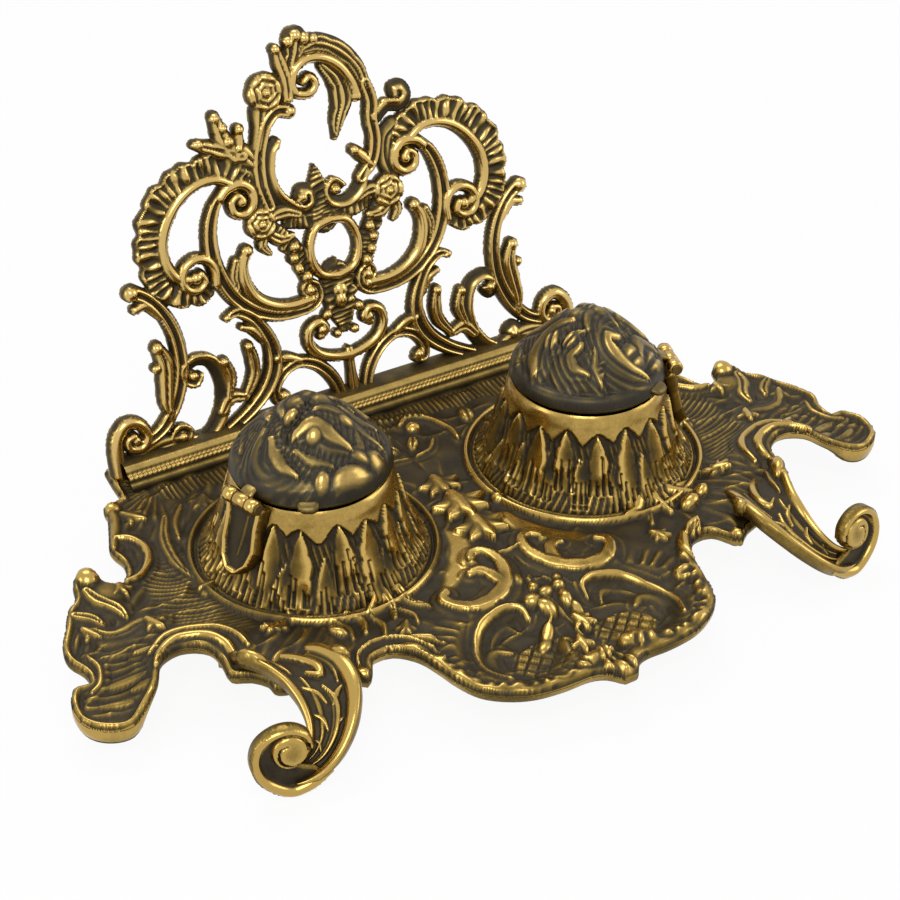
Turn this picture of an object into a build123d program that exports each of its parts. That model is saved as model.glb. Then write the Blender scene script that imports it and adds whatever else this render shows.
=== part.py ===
from build123d import *
from math import atan2, cos, hypot, pi, radians, sin, tan
import os

os.makedirs("parts", exist_ok=True)

# Desk inkstand: a cast brass tray on scroll feet, an openwork back gallery, two bell shaped
# ink wells with hinged domed lids, a black ink pot in each well, and screws from below.
# Millimetres. X runs along the width, the front is -Y, +Z is up. The feet stand on z = 0.

# ---- tray ----
tray_top = 17.0          # top of the flat field
tray_thick = 3.4         # thickness of the field
tray_under = tray_top - tray_thick
# the wings slope down towards the front: distance out where each part of the slope starts
wing_zones = [(112.0, 0.05), (117.0, 0.12), (122.0, 0.2)]
wing_level_y = -4.0      # where the wings are level with the rest of the tray
edge_drop = 3.4          # lower edge of the border, below the field
lip_drop = 6.4           # the same at the thick lip in front of each wing
border_rise = 1.6        # crest of the raised border over the field
dish_floor = 11.2        # floor of the front dish
dish_under = 8.2

# ---- wells ----
well_x = 54.8            # centre of each well, left and right
well_y = 2.0
well_rim_z = 50.0
well_rim_r = 26.0
well_bore_r = 22.6
ring_r = 40.9            # moulding that surrounds the foot of each well
ring_half = 1.7
ring_top = 19.4

rib_count = 12           # upright flames round a well; one place is taken by the strap
rib_half = 3.1
rib_rise = 1.5

# ---- ink pots ----
pot_r = 20.4
pot_wall = 2.6
pot_bottom = 21.0
flange_r = 25.6
flange_thick = 2.0
flange_top = well_rim_z + flange_thick

# ---- lids and hinges ----
lid_gap = 0.35
lid_bottom = flange_top + lid_gap
lid_r = 27.6
lid_top = 79.6
lid_wall = 2.2
hinge_reach = 31.0        # hinge axis from the centre of the well
hinge_turn = 16.0         # degrees that each hinge is turned from the side towards the front
hinge_z = 52.6
pin_r = 1.25
pin_clearance = 0.05
knuckle_r = 2.7
middle_knuckle = 5.4     # length of the knuckle on the lid
side_knuckle = 4.2       # length of each knuckle on the strap
knuckle_gap = 0.3
strap_half = 8.5
tab_turn = 60.0           # thumb tab of the lid, in degrees from the side towards the front
tab_r = 3.6

# ---- gallery ----
lean = 14.0              # degrees that the gallery leans back
gallery_y = 72.4         # middle of the gallery's thickness at the top of the tray
half_thick = 2.6
rail_half = 95.0
rail_top = 24.2

# ---- screws and back feet ----
screw_r = 1.45
screw_clearance = 0.05
screw_head_r = 2.9
screw_head = 2.0
screw_play = 0.1         # a screw ends this far below the top of its hole
well_hole = 7.0          # depth of the screw holes in the wells
gallery_hole = 5.5       # the same in the gallery
boss_r = 4.2
well_screw_out = 27.6    # from the centre of the well
gallery_screw_x = 80.0
back_foot_x = 70.0
back_foot_y = 60.0
back_foot_r = 7.5


# ------------------------------------------------------------------ helpers
def curve(points, step=2.6):
    """Points along a smooth curve that passes through all the given points."""
    out = []
    last = len(points) - 1
    for i in range(last):
        a = points[max(i - 1, 0)]
        b = points[i]
        c = points[i + 1]
        d = points[min(i + 2, last)]
        count = max(1, round(hypot(c[0] - b[0], c[1] - b[1]) / step))
        for k in range(count):
            t = k / count
            out.append(tuple(
                0.5 * (2 * q + (r - p) * t + (2 * p - 5 * q + 4 * r - s) * t * t
                       + (3 * q - p - 3 * r + s) * t ** 3)
                for p, q, r, s in zip(a, b, c, d)))
    out.append(tuple(points[last]))
    return out


def strand(points, start, middle, end, step=2.6):
    """Face of a scroll's strand: it follows the points and its width swells and tapers."""
    line = curve(points, step)
    total = len(line) - 1
    left, right = [], []
    for i, (x, y) in enumerate(line):
        ax, ay = line[max(i - 1, 0)]
        bx, by = line[min(i + 1, total)]
        length = hypot(bx - ax, by - ay) or 1.0
        nx, ny = (ay - by) / length, (bx - ax) / length
        t = i / total
        if t < 0.5:
            half = 0.5 * (start + (middle - start) * sin(pi * t))
        else:
            half = 0.5 * (end + (middle - end) * sin(pi * t))
        left.append((x + nx * half, y + ny * half))
        right.append((x - nx * half, y - ny * half))
    return polygon(left + right[::-1])


def polygon(corners):
    """Face inside a closed row of corners."""
    with BuildSketch(mode=Mode.PRIVATE) as shape:
        with BuildLine():
            Polyline(*corners, close=True)
        make_face()
    return shape.sketch.face()


def disc(x, y, r):
    """Round face, such as the eye of a volute."""
    with BuildSketch(mode=Mode.PRIVATE) as shape:
        with Locations((x, y)):
            Circle(r)
    return shape.sketch.face()


def mirrored(points):
    return [(-x, y) for x, y in points]


def union(faces):
    """One sketch from many faces that overlap."""
    return faces[0].fuse(*faces[1:])


# ------------------------------------------------------------------ tray
# Right half of the outline, from the middle of the back round to the middle of the front.
side = [(98.6, 79.0), (99.6, 70.0), (100.5, 60.5), (104.0, 59.0), (108.5, 57.0), (109.0, 52.5),
        (110.5, 48.5), (113.5, 41.0), (116.5, 33.0), (115.2, 26.0), (117.0, 18.5), (121.5, 14.5),
        (125.2, 17.0), (127.0, 22.5), (132.0, 24.0), (135.8, 19.5), (137.5, 13.5), (142.0, 9.0),
        (146.0, 2.0), (150.0, -5.0), (151.0, -11.5), (148.5, -17.5), (148.5, -23.0), (153.0, -22.5),
        (157.0, -27.5), (158.0, -34.5), (155.5, -40.5), (150.0, -44.5), (143.5, -45.5),
        (137.0, -42.0), (131.5, -38.0), (128.0, -32.5), (123.5, -29.8), (117.5, -30.0),
        (112.0, -34.0), (110.5, -40.0), (110.5, -46.5), (105.0, -50.0), (101.5, -54.5),
        (99.0, -60.0), (78.0, -66.0), (73.5, -69.5), (70.0, -66.0), (66.5, -60.5), (59.5, -60.5),
        (54.0, -66.5), (51.5, -74.5), (49.5, -83.0), (46.0, -91.0), (39.5, -97.0), (31.0, -101.0),
        (20.5, -102.5), (11.5, -102.5), (6.5, -104.2), (2.5, -109.2)]
outline = curve(side, 3.0)
outline = outline + mirrored(outline)[::-1]

# Half of the inner line that bounds the flat field inside the border.
field_side = [(96.2, 77.2), (96.6, 69.0), (96.8, 60.0), (104.5, 50.5), (109.5, 40.0), (111.5, 30.0),
              (111.8, 20.0), (116.5, 12.0), (127.5, 11.5), (131.5, 16.5), (138.0, 5.5),
              (144.5, -3.5), (146.5, -11.0), (144.0, -18.0), (144.5, -26.5), (151.8, -28.0),
              (153.8, -34.0), (149.0, -39.5), (143.0, -41.0), (136.5, -37.5), (131.0, -29.5),
              (122.5, -25.8), (113.0, -27.5), (107.5, -33.0), (106.0, -44.0), (99.0, -49.0),
              (91.0, -56.0), (76.5, -61.5), (64.5, -56.5), (55.5, -58.0), (50.0, -65.5),
              (47.5, -75.0), (45.5, -82.5), (41.5, -88.5), (34.0, -94.0), (22.0, -98.0),
              (8.0, -98.5)]
field = curve(field_side, 5.0)
field = field + mirrored(field)[::-1]

# Front dish: a wide shell with two lobes.
dish_side = [(10.0, -55.0), (24.0, -55.5), (36.0, -60.0), (43.5, -69.0), (43.0, -80.5),
             (36.5, -89.5), (24.0, -94.5), (9.0, -95.5)]
dish = curve(dish_side, 4.0)
dish = dish + mirrored(dish)[::-1]

# Main scrolls and leaves that stand on the tray, right half: the points, the width at the start,
# in the middle and at the end.
tray_strands = [
    # C scroll in front of the wells, and the leaf inside it
    ([(29.0, -47.0), (29.6, -52.6), (23.4, -57.0), (16.0, -54.4), (10.6, -48.0), (7.2, -40.0),
      (6.8, -33.8), (10.0, -31.0), (13.4, -33.6)], 3.6, 5.6, 3.4),
    ([(13.6, -37.6), (12.2, -42.4), (15.6, -48.4), (21.6, -50.0), (25.0, -46.6)], 4.4, 5.0, 3.6),
    # arc round each lobe of the dish
    ([(12.4, -60.4), (17.0, -57.4), (25.0, -57.4), (32.6, -62.6), (36.6, -71.0), (37.6, -80.0),
      (34.4, -88.0), (29.0, -92.5)], 2.4, 3.2, 2.2),
    # leaves between the foot and the well
    ([(61.0, -58.0), (55.0, -52.0), (53.0, -46.0), (57.0, -40.0)], 3.6, 6.6, 3.6),
    ([(45.0, -47.0), (47.6, -39.0), (53.0, -35.0)], 3.6, 6.4, 3.4),
    ([(62.6, -53.0), (59.6, -44.0), (60.4, -36.0)], 3.6, 5.6, 3.6),
    ([(66.0, -47.0), (69.6, -40.6), (75.6, -40.6), (80.6, -44.0)], 3.4, 5.6, 3.2),
    # husks down the middle
    ([(1.5, 14.0), (5.0, 8.0), (9.0, 1.0)], 3.4, 4.6, 1.6),
    ([(1.5, -1.0), (5.0, -7.0), (8.5, -13.0)], 3.4, 4.6, 1.6),
    ([(1.5, -14.0), (3.6, -20.0), (6.0, -26.0)], 3.4, 4.0, 1.6),
    ([(0.0, 16.0), (0.0, 0.0), (0.0, -28.0)], 3.0, 4.0, 2.0),
    # sweeps on the wing
    ([(104.0, -20.0), (113.0, -18.0), (120.5, -21.6), (124.6, -29.0)], 3.4, 5.4, 3.2),
    ([(112.0, 8.0), (121.0, 3.0), (126.0, -6.0), (128.0, -14.0)], 3.4, 5.6, 2.6),
    ([(137.0, 5.0), (131.4, 0.0), (129.4, -8.0), (133.0, -12.0), (140.0, -10.6)], 3.0, 4.0, 2.4),
    ([(111.6, 37.0), (108.8, 33.0), (107.6, 27.0), (109.6, 20.6), (114.0, 15.4)], 2.8, 3.8, 2.8),
    ([(93.0, 40.0), (98.4, 28.0), (99.4, 14.0), (97.8, 6.0)], 3.0, 4.6, 2.6),
    ([(14.0, 40.0), (17.6, 46.0), (15.6, 52.0), (9.4, 52.0)], 2.6, 3.2, 2.6),
]
strand_rise = 2.4

well_bore_spots = [(s * well_x, well_y + t * well_screw_out) for s in (-1, 1) for t in (-1, 1)]
gallery_spots = [(x, gallery_y) for x in (-gallery_screw_x, 0, gallery_screw_x)]
foot_spots = [(s * back_foot_x, back_foot_y) for s in (-1, 1)]

# Front foot: a broad arm bends over at the front, and rolls outwards into an upright volute.
# The volute's outline starts where the arm ends and is measured out from its eye.
eye_x = 108.4
eye_y = -83.6
eye_z = 18.0
eye_r = 6.0
foot_turn = 12.0
foot_thick = 6.5
volute = [(-26.0, 15.5), (-24.6, 10.0), (-21.0, 5.4), (-15.0, 2.2), (-7.5, 0.7), (0.0, 0.2),
          (7.0, 2.4), (11.4, 7.6), (12.8, 14.5), (11.4, 21.2), (6.5, 26.0), (0.0, 27.6),
          (-6.0, 26.0), (-9.4, 22.0), (-11.0, 17.5)]
arm_above = [(-48.0, 17.0), (-62.0, 18.0), (-72.0, 18.6), (-80.0, 17.8), (-86.5, 14.6),
             (-89.6, 9.5)]
arm_below = [(-87.0, 5.0), (-82.0, 7.0), (-77.0, 11.0), (-70.0, 13.4), (-60.0, 13.4),
             (-48.0, 13.0)]
arm_plan = [(76.5, -46.0), (100.5, -46.0), (100.5, -92.0), (84.0, -92.0), (79.5, -72.0),
            (76.5, -60.0)]


lip_plan = [(136.0, -60.0), (170.0, -60.0), (170.0, -20.0), (136.0, -20.0)]


def above(rise):
    """All the space higher than the tray's top surface plus the rise, with the sloping wings."""
    zones = [(-wing_zones[0][0], wing_zones[0][0], 0.0)]
    ends = [start for start, slope in wing_zones[1:]] + [170.0]
    for (start, slope), end in zip(wing_zones, ends):
        zones = zones + [(start, end, slope), (-start, -end, slope)]
    with BuildPart(mode=Mode.PRIVATE) as space:
        for near, far, slope in zones:
            front = tray_top + rise + slope * (-130.0 - wing_level_y)
            back = tray_top + rise + slope * (130.0 - wing_level_y)
            with BuildSketch(Plane.YZ.offset(near)):
                add(polygon([(-130, front), (130, back), (130, 90), (-130, 90)]))
            extrude(amount=far - near)
    return space.part


def prism(corners):
    """Upright prism, from below the feet to far above the tray."""
    with BuildPart(mode=Mode.PRIVATE) as block:
        with BuildSketch(Plane.XY.offset(-30)):
            add(polygon(corners))
        extrude(amount=90)
    return block.part


def prism_of(face):
    """Upright prism over any face drawn on the ground."""
    with BuildPart(mode=Mode.PRIVATE) as block:
        with BuildSketch(Plane.XY):
            add(face)
        extrude(amount=60)
    return block.part


def foot_arm(s):
    """The broad arm of a front foot; it grows narrower towards the front."""
    with BuildPart(mode=Mode.PRIVATE) as reach:
        with BuildSketch(Plane.YZ.offset(s * 70.0)):
            add(polygon(curve(arm_above) + arm_below))
        extrude(amount=s * 40.0)
    return reach.part & prism([(s * x, y) for x, y in arm_plan])


with BuildPart() as tray:
    add(prism(outline))
    add(above(border_rise), mode=Mode.SUBTRACT)
    lips = (prism(outline) - prism(field)) & above(-lip_drop)
    add(above(-edge_drop), mode=Mode.INTERSECT)
    add(prism(field) & above(0), mode=Mode.SUBTRACT)
    for s in (-1, 1):
        add(lips & prism([(s * x, y) for x, y in lip_plan]) - above(-1.0))
    # the dish, sunk below the field
    with BuildSketch(Plane.XY.offset(dish_under)):
        add(polygon(dish))
    extrude(amount=tray_top - dish_under)
    with BuildSketch(Plane.XY.offset(tray_top)):
        add(polygon([(x * 0.95, -76.0 + (y + 76.0) * 0.93) for x, y in dish]))
    extrude(amount=dish_floor - tray_top, taper=28, mode=Mode.SUBTRACT)
    # scrolls and leaves that stand on the field
    for points, start, middle, end in tray_strands:
        for s in (-1, 1):
            add(prism_of(strand([(s * x, y) for x, y in points], start, middle, end, 6.0))
                & above(-0.6) - above(strand_rise))
    # the wells need a level seat
    with BuildSketch(Plane.XY.offset(tray_top)):
        with Locations((-well_x, well_y), (well_x, well_y)):
            Circle(ring_r - ring_half)
    extrude(amount=20.0, mode=Mode.SUBTRACT)
    # moulding round the foot of each well
    with BuildSketch(Plane.XY.offset(tray_top - 1.0)):
        with Locations((-well_x, well_y), (well_x, well_y)):
            Circle(ring_r + ring_half)
            Circle(ring_r - ring_half, mode=Mode.SUBTRACT)
    extrude(amount=ring_top - tray_top + 1.0)
    # front scroll feet: the arm that bends over, then the upright volute with its raised eye
    for s in (-1, 1):
        add(foot_arm(s))
        turn = radians(foot_turn)
        face = Plane(origin=(s * eye_x, eye_y, 0), x_dir=(s * cos(turn), sin(turn), 0),
                     z_dir=(sin(turn), -s * cos(turn), 0))
        with BuildSketch(face):
            add(polygon(curve(volute, 2.5)))
        extrude(amount=-s * foot_thick)
        with BuildSketch(face):
            with Locations((0.4, eye_z)):
                Circle(eye_r)
        extrude(amount=s * 1.2)
    # pads inside for the back feet, and the screw holes
    with BuildSketch(Plane.XY.offset(tray_under - 3.0)):
        with Locations(*foot_spots):
            Circle(6.0)
        with Locations(*gallery_spots):
            Circle(5.0)
    extrude(amount=3.0)
    with BuildSketch(Plane.XY.offset(tray_under - 3.0)):
        with Locations(*gallery_spots):
            Circle(screw_r + screw_clearance)
        with Locations(*well_bore_spots):
            Circle(screw_r + screw_clearance)
    extrude(amount=tray_top + 3.0, mode=Mode.SUBTRACT)
    with BuildSketch(Plane.XY.offset(tray_under - 3.0)):
        with Locations(*foot_spots):
            Circle(2.5 + screw_clearance)
    extrude(amount=5.5, mode=Mode.SUBTRACT)
tray.part.label = "tray"
export_step(tray.part, "parts/tray.step")

# ------------------------------------------------------------------ gallery
# Strands of the openwork, as (x, height above the ground) pairs for the right half. Each row is
# the points, then the width at the start, in the middle and at the end. Most are C and S
# scrolls that end in a round eye.
paired_strands = [
    # border of each fan, a broad fluted crescent
    ([(33.0, 111.0), (46.0, 113.5), (58.0, 109.5), (67.0, 100.5), (70.5, 89.0), (67.5, 78.5),
      (59.5, 71.8), (50.5, 72.5)], 9.0, 11.5, 6.0),
    # inner roll of the fan, down to its eye
    ([(59.5, 77.0), (63.0, 84.0), (63.2, 92.0), (58.0, 102.0), (47.0, 107.5), (35.0, 106.5)],
     3.4, 3.6, 4.0),
    ([(59.5, 77.0), (55.0, 72.5), (49.5, 75.5), (50.5, 80.0), (54.5, 79.5)], 3.4, 3.4, 3.2),
    # great C that hangs from the top to the middle
    ([(31.5, 99.3), (35.0, 102.0), (40.5, 99.5), (44.8, 91.0), (45.2, 81.0), (42.5, 70.5),
      (34.0, 60.5), (22.5, 55.2), (13.5, 54.8), (9.2, 58.5)], 3.6, 4.2, 3.2),
    # inner strand with a leaf at its head
    ([(36.5, 81.5), (33.5, 77.0), (34.0, 70.5), (31.0, 64.0), (25.0, 58.5)], 3.6, 4.2, 3.0),
    ([(45.5, 83.5), (51.0, 75.0), (55.5, 73.5)], 3.0, 2.8, 3.0),
    # stem from the big C to the rose
    ([(31.5, 99.3), (28.5, 95.5), (26.0, 90.0)], 3.6, 3.4, 4.0),
    # heart loops below the middle
    ([(7.2, 46.5), (10.8, 47.5), (13.0, 43.0), (9.5, 36.5), (0.0, 33.5)], 3.2, 3.0, 3.4),
    ([(9.0, 58.0), (6.5, 53.0), (2.0, 49.0), (0.0, 45.0)], 3.2, 4.0, 3.0),
    # foot arches
    ([(2.5, 22.0), (6.5, 32.0), (16.5, 37.5), (27.0, 33.5), (32.5, 24.0)], 3.6, 3.2, 3.6),
    # slender inner leg with a leaf
    ([(45.5, 60.5), (39.5, 61.0), (33.5, 57.0), (30.8, 50.5), (30.2, 41.0), (34.5, 31.5),
      (45.0, 26.0), (53.0, 22.5)], 2.8, 4.2, 3.4),
    ([(38.5, 51.0), (36.0, 45.0), (32.0, 41.0)], 3.4, 3.2, 2.6),
    # stem that joins the inner leg to the great C
    ([(33.5, 57.0), (29.0, 59.0), (24.0, 57.0)], 2.8, 2.8, 3.0),
    # outer leg, from the fan down to the foot scroll
    ([(79.5, 78.5), (73.0, 73.5), (67.0, 67.0), (64.4, 58.5), (65.0, 48.5), (69.5, 36.0),
      (77.5, 26.5), (87.0, 21.5)], 3.6, 4.6, 4.2),
    ([(73.0, 56.0), (69.5, 50.5), (66.5, 44.0)], 4.2, 3.6, 2.8),
    ([(67.0, 67.0), (65.5, 72.0), (63.0, 74.0)], 3.4, 3.2, 3.4),
    # side scroll between the legs
    ([(60.5, 41.5), (61.0, 46.0), (55.5, 48.8), (49.5, 45.5), (47.5, 38.0), (49.5, 28.0),
      (56.5, 20.5), (64.5, 18.8), (69.0, 22.6)], 3.0, 3.6, 3.2),
    ([(43.0, 45.5), (45.5, 39.0), (48.5, 33.0)], 3.8, 3.4, 2.8),
    # foot scroll at each end
    ([(87.0, 26.7), (89.8, 30.4), (94.0, 29.0), (95.6, 24.5), (93.6, 19.8), (92.0, 16.8)],
     3.6, 4.4, 4.6),
    ([(64.5, 20.5), (72.0, 27.5), (81.0, 24.5), (90.0, 20.0)], 3.6, 3.6, 4.2),
]
paired_eyes = [(53.8, 77.2, 3.4), (31.5, 99.3, 3.0), (9.0, 61.8, 3.6), (7.2, 46.5, 2.4),
               (60.5, 41.5, 2.6), (69.0, 22.9, 2.6), (87.0, 26.7, 3.6), (25.5, 89.5, 5.4),
               (80.0, 78.5, 3.0), (36.5, 82.0, 3.0), (45.5, 60.5, 2.2), (38.6, 51.3, 2.4),
               (73.2, 56.4, 2.6), (42.6, 46.2, 2.4), (8.0, 94.8, 3.4), (4.5, 45.0, 2.4)]
# Strands of the crest, which is not the same on its two sides.
crest_strands = [
    # left band of the upper cartouche
    ([(-9.0, 126.5), (-15.5, 128.0), (-20.5, 122.0), (-23.0, 113.0), (-22.5, 103.0),
      (-18.0, 94.5), (-12.0, 90.5), (-8.0, 93.5)], 4.0, 4.6, 4.0),
    # right band, with the acanthus that climbs to the finial
    ([(0.5, 151.0), (7.5, 146.5), (14.5, 141.0), (21.0, 133.5), (25.5, 124.0), (25.8, 112.0),
      (21.5, 102.0), (16.0, 94.0), (9.0, 90.5), (7.0, 94.0)], 5.0, 6.4, 4.0),
    ([(12.0, 141.5), (15.5, 132.0), (13.0, 122.5), (9.5, 114.0)], 7.5, 5.0, 1.4),
    ([(1.5, 153.0), (8.5, 147.5), (12.5, 142.5)], 4.0, 6.0, 6.5),
    # little C under the finial
    ([(8.5, 146.5), (4.0, 141.5), (-0.5, 138.5), (-1.5, 133.0), (2.0, 132.0)], 5.0, 4.0, 3.0),
    ([(3.0, 149.5), (-2.5, 146.5), (-8.0, 141.5), (-13.5, 136.0)], 6.0, 7.0, 6.0),
    ([(-15.5, 135.0), (-16.0, 130.0), (-20.0, 122.0)], 6.5, 5.0, 4.4),
    # left bouquet above the fan
    ([(-25.0, 108.0), (-30.0, 115.0), (-35.0, 120.0)], 6.0, 8.0, 9.0),
    ([(-35.0, 118.0), (-35.5, 125.0), (-35.5, 129.5)], 8.0, 7.5, 4.5),
    ([(-31.0, 118.0), (-39.0, 122.0), (-45.5, 124.0)], 7.0, 5.5, 3.4),
    # right leaf above the fan
    ([(26.0, 114.0), (31.5, 119.0), (38.5, 123.0)], 6.0, 6.4, 3.0),
    # ties from the crest to the fans
    ([(-24.0, 113.0), (-29.0, 110.5), (-35.0, 109.0)], 6.0, 7.0, 8.0),
    ([(25.0, 112.0), (30.0, 110.0), (36.0, 109.5)], 6.0, 7.0, 8.0),
    # shell under the cartouche and rocaille round the oval
    ([(-2.0, 104.5), (-2.5, 98.0), (-1.0, 90.0), (0.0, 86.0)], 5.0, 9.0, 12.0),
    ([(-14.0, 90.0), (-6.0, 88.0), (0.0, 86.5), (6.0, 88.0), (14.0, 90.0)], 4.0, 6.0, 4.0),
]
central_pair = [
    # rocaille on both sides of the oval
    ([(22.5, 88.0), (17.0, 82.0), (14.5, 75.0), (12.5, 67.0), (8.5, 60.5)], 5.0, 7.4, 5.0),
    ([(2.0, 86.5), (7.5, 84.0), (9.8, 76.0), (7.0, 67.5), (0.0, 62.0)], 5.0, 3.4, 5.0),
    ([(24.5, 100.0), (22.5, 95.0), (25.0, 90.0)], 3.0, 3.4, 4.0),
]


def raise_height(z):
    """Distance up the leaning gallery for a height above the ground."""
    return (z - tray_top) / cos(radians(lean))


def lifted(points, s=1):
    return [(s * x, raise_height(z)) for x, z in points]


faces = []
for points, a, b, c in paired_strands + central_pair:
    for s in (-1, 1):
        faces.append(strand(lifted(points, s), a, b, c))
for points, a, b, c in crest_strands:
    faces.append(strand(lifted(points), a, b, c))
for x, z, r in paired_eyes:
    for s in (-1, 1):
        faces.append(disc(s * x, raise_height(z), r))
for x, z, r in [(-16.0, 134.5, 6.2), (-9.5, 127.0, 2.8), (1.0, 152.0, 3.0), (0.0, 60.0, 4.5),
                (0.0, 33.0, 2.8), (0.0, 24.5, 4.0), (16.5, 104.0, 2.6), (-7.5, 146.5, 3.4)]:
    faces.append(disc(x, raise_height(z), r))
plate = Plane(origin=(0, gallery_y, tray_top), x_dir=(1, 0, 0),
              z_dir=(0, -cos(radians(lean)), sin(radians(lean))))

# Moulded rail that carries the openwork and stands on the tray, seen from the side.
rail = [(62.0, tray_top), (62.0, 18.8), (63.8, 19.6), (63.8, 21.0), (66.2, 21.6), (66.2, 22.6),
        (69.6, rail_top), (77.0, rail_top), (77.0, tray_top)]

with BuildPart() as gallery:
    with BuildSketch(plate) as openwork:
        add(union(faces))
        with Locations((0, (rail_top - tray_top) / 2 + 0.6)):
            Rectangle(2 * rail_half, rail_top - tray_top - 1.2)
    extrude(amount=half_thick, both=True)
    with BuildSketch(Plane.YZ.offset(-rail_half)):
        add(polygon(rail))
    extrude(amount=2 * rail_half)
    with BuildSketch(Plane.XY.offset(tray_top)):
        with Locations(*gallery_spots):
            Circle(screw_r + screw_clearance)
    extrude(amount=gallery_hole, mode=Mode.SUBTRACT)
    with BuildSketch(Plane.XY.offset(tray_top)):
        Rectangle(400, 400)
    extrude(amount=-12, mode=Mode.SUBTRACT)
gallery.part.label = "gallery"
export_step(gallery.part, "parts/gallery.step")

# ------------------------------------------------------------------ wells
bell = [(39.0, tray_top), (39.0, 18.6), (37.6, 20.4), (35.4, 22.8), (33.4, 26.0), (31.4, 30.5),
        (29.6, 36.0), (28.2, 41.5), (27.2, 46.0), (26.6, 48.4), (well_rim_r, well_rim_z)]
bell_inside = [(well_bore_r, well_rim_z), (well_bore_r, 47.0), (24.4, 41.0), (26.0, 36.0),
               (28.0, 30.0), (30.4, 25.0), (33.5, 21.0), (36.0, 19.0), (36.0, tray_top)]


# side of one upright flame: from its tip down the flank, and back inside the wall
rib = [(27.8, 42.5), (28.6 + rib_rise, 37.0), (30.8 + rib_rise, 30.5), (33.0 + rib_rise, 25.5),
       (36.0 + rib_rise, 21.2), (37.4, 19.6), (34.6, 21.4), (32.0, 25.4), (29.8, 30.4), (28.0, 36.0)]


def bell_body(x):
    """Outer shape of a well, solid, to seat the straps on."""
    with BuildPart(mode=Mode.PRIVATE) as body:
        with BuildSketch(Plane.XZ):
            add(polygon([(0, tray_top)] + bell + [(0, well_rim_z)]))
        revolve(axis=Axis.Z)
    return body.part.moved(Location((x, well_y, 0)))


def make_well(s, name):
    """Bell shaped cast housing with two screw bosses inside."""
    with BuildPart() as well:
        with BuildSketch(Plane.XZ):
            add(polygon(bell + bell_inside))
        revolve(axis=Axis.Z)
        with BuildSketch(Plane.XY.offset(tray_top)):
            with Locations((0, -well_screw_out), (0, well_screw_out)):
                Circle(boss_r)
        extrude(amount=9.0)
        with BuildSketch(Plane.XY.offset(tray_top)):
            with Locations((0, -well_screw_out), (0, well_screw_out)):
                Circle(screw_r + screw_clearance)
        extrude(amount=well_hole, mode=Mode.SUBTRACT)
        # upright flames round the flank, except under the strap
        for k in range(1, rib_count):
            turn = radians(360.0 * k / rib_count - hinge_turn)
            with BuildSketch(Plane(origin=(0, 0, 0), x_dir=(cos(turn), sin(turn), 0),
                                   z_dir=(sin(turn), -cos(turn), 0))):
                add(polygon(rib))
            extrude(amount=rib_half, both=True)
    shape = well.part
    if s < 0:
        shape = mirror(shape, about=Plane.YZ)
    placed = shape.moved(Location((s * well_x, well_y, 0)))
    placed.label = name
    return placed


# ------------------------------------------------------------------ hinge straps, pins, lids
def at_hinge(shape, s, name):
    """Turn a piece that was made for a hinge on +X to its place on the left or right well."""
    turned = shape.moved(Location((0, 0, 0), (0, 0, -hinge_turn)))
    if s < 0:
        turned = mirror(turned, about=Plane.YZ)
    placed = turned.moved(Location((s * well_x, well_y, 0)))
    placed.label = name
    return placed


def make_strap(s, name):
    """Shield shaped strap on the outer flank of a well, with the two fixed knuckles."""
    flank = [(26.0, 49.0), (28.4, 51.0), (30.2, 50.0), (31.6, 44.0), (33.6, 36.0), (36.6, 28.0),
             (39.0, 23.4), (37.4, 21.8), (30.0, 30.0)]
    with BuildPart() as strap:
        with BuildSketch(Plane.XZ.offset(-strap_half)):
            add(polygon(flank))
        extrude(amount=2 * strap_half)
        for e in (-1, 1):
            near = e * (middle_knuckle / 2 + knuckle_gap)
            with BuildSketch(Plane.XZ.offset(near)):
                with Locations((hinge_reach, hinge_z)):
                    Circle(knuckle_r)
            extrude(amount=e * side_knuckle)
        # round the lower end to the shield's point
        with BuildSketch(Plane.YZ.offset(20)):
            add(polygon([(8.6, 20.0), (8.6, 36.0), (7.0, 29.0), (4.0, 24.5), (0, 22.6),
                         (-4.0, 24.5), (-7.0, 29.0), (-8.6, 36.0), (-8.6, 20.0)]))
        extrude(amount=30, mode=Mode.SUBTRACT)
        with BuildSketch(Plane.XZ.offset(-20)):
            with Locations((hinge_reach, hinge_z)):
                Circle(pin_r)
        extrude(amount=40, mode=Mode.SUBTRACT)
        # room for the knuckle of the lid
        with BuildSketch(Plane.XZ.offset(-middle_knuckle / 2 - knuckle_gap)):
            with Locations((hinge_reach, hinge_z)):
                Circle(knuckle_r + knuckle_gap)
        extrude(amount=middle_knuckle + 2 * knuckle_gap, mode=Mode.SUBTRACT)
        add(bell_body(0).moved(Location((0, -well_y, 0))), mode=Mode.SUBTRACT)
    return at_hinge(strap.part, s, name)


def make_pin(s, name):
    """Hinge pin with a small head at each end."""
    half = middle_knuckle / 2 + knuckle_gap + side_knuckle
    with BuildPart() as pin:
        with BuildSketch(Plane.XZ.offset(-half)):
            Circle(pin_r)
        extrude(amount=2 * half)
        for e in (-1, 1):
            with BuildSketch(Plane.XZ.offset(e * half)):
                Circle(pin_r + 0.6)
            extrude(amount=e * 0.9)
    return at_hinge(pin.part.moved(Location((hinge_reach, 0, hinge_z))), s, name)


dome = [(lid_r - 0.8, lid_bottom), (lid_r, lid_bottom + 1.2), (27.0, 55.4), (25.2, 58.4),
        (22.6, 61.2), (19.4, 64.2), (15.8, 67.6), (12.4, 70.8), (9.4, 73.6), (6.6, 76.6),
        (3.8, 78.9), (0.0, lid_top)]
dome_inside = [(0.0, lid_top - 5.0), (6.0, 72.6), (12.0, 67.0), (17.6, 61.8), (22.0, 57.6),
               (24.2, 55.0), (24.6, lid_bottom)]


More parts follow.
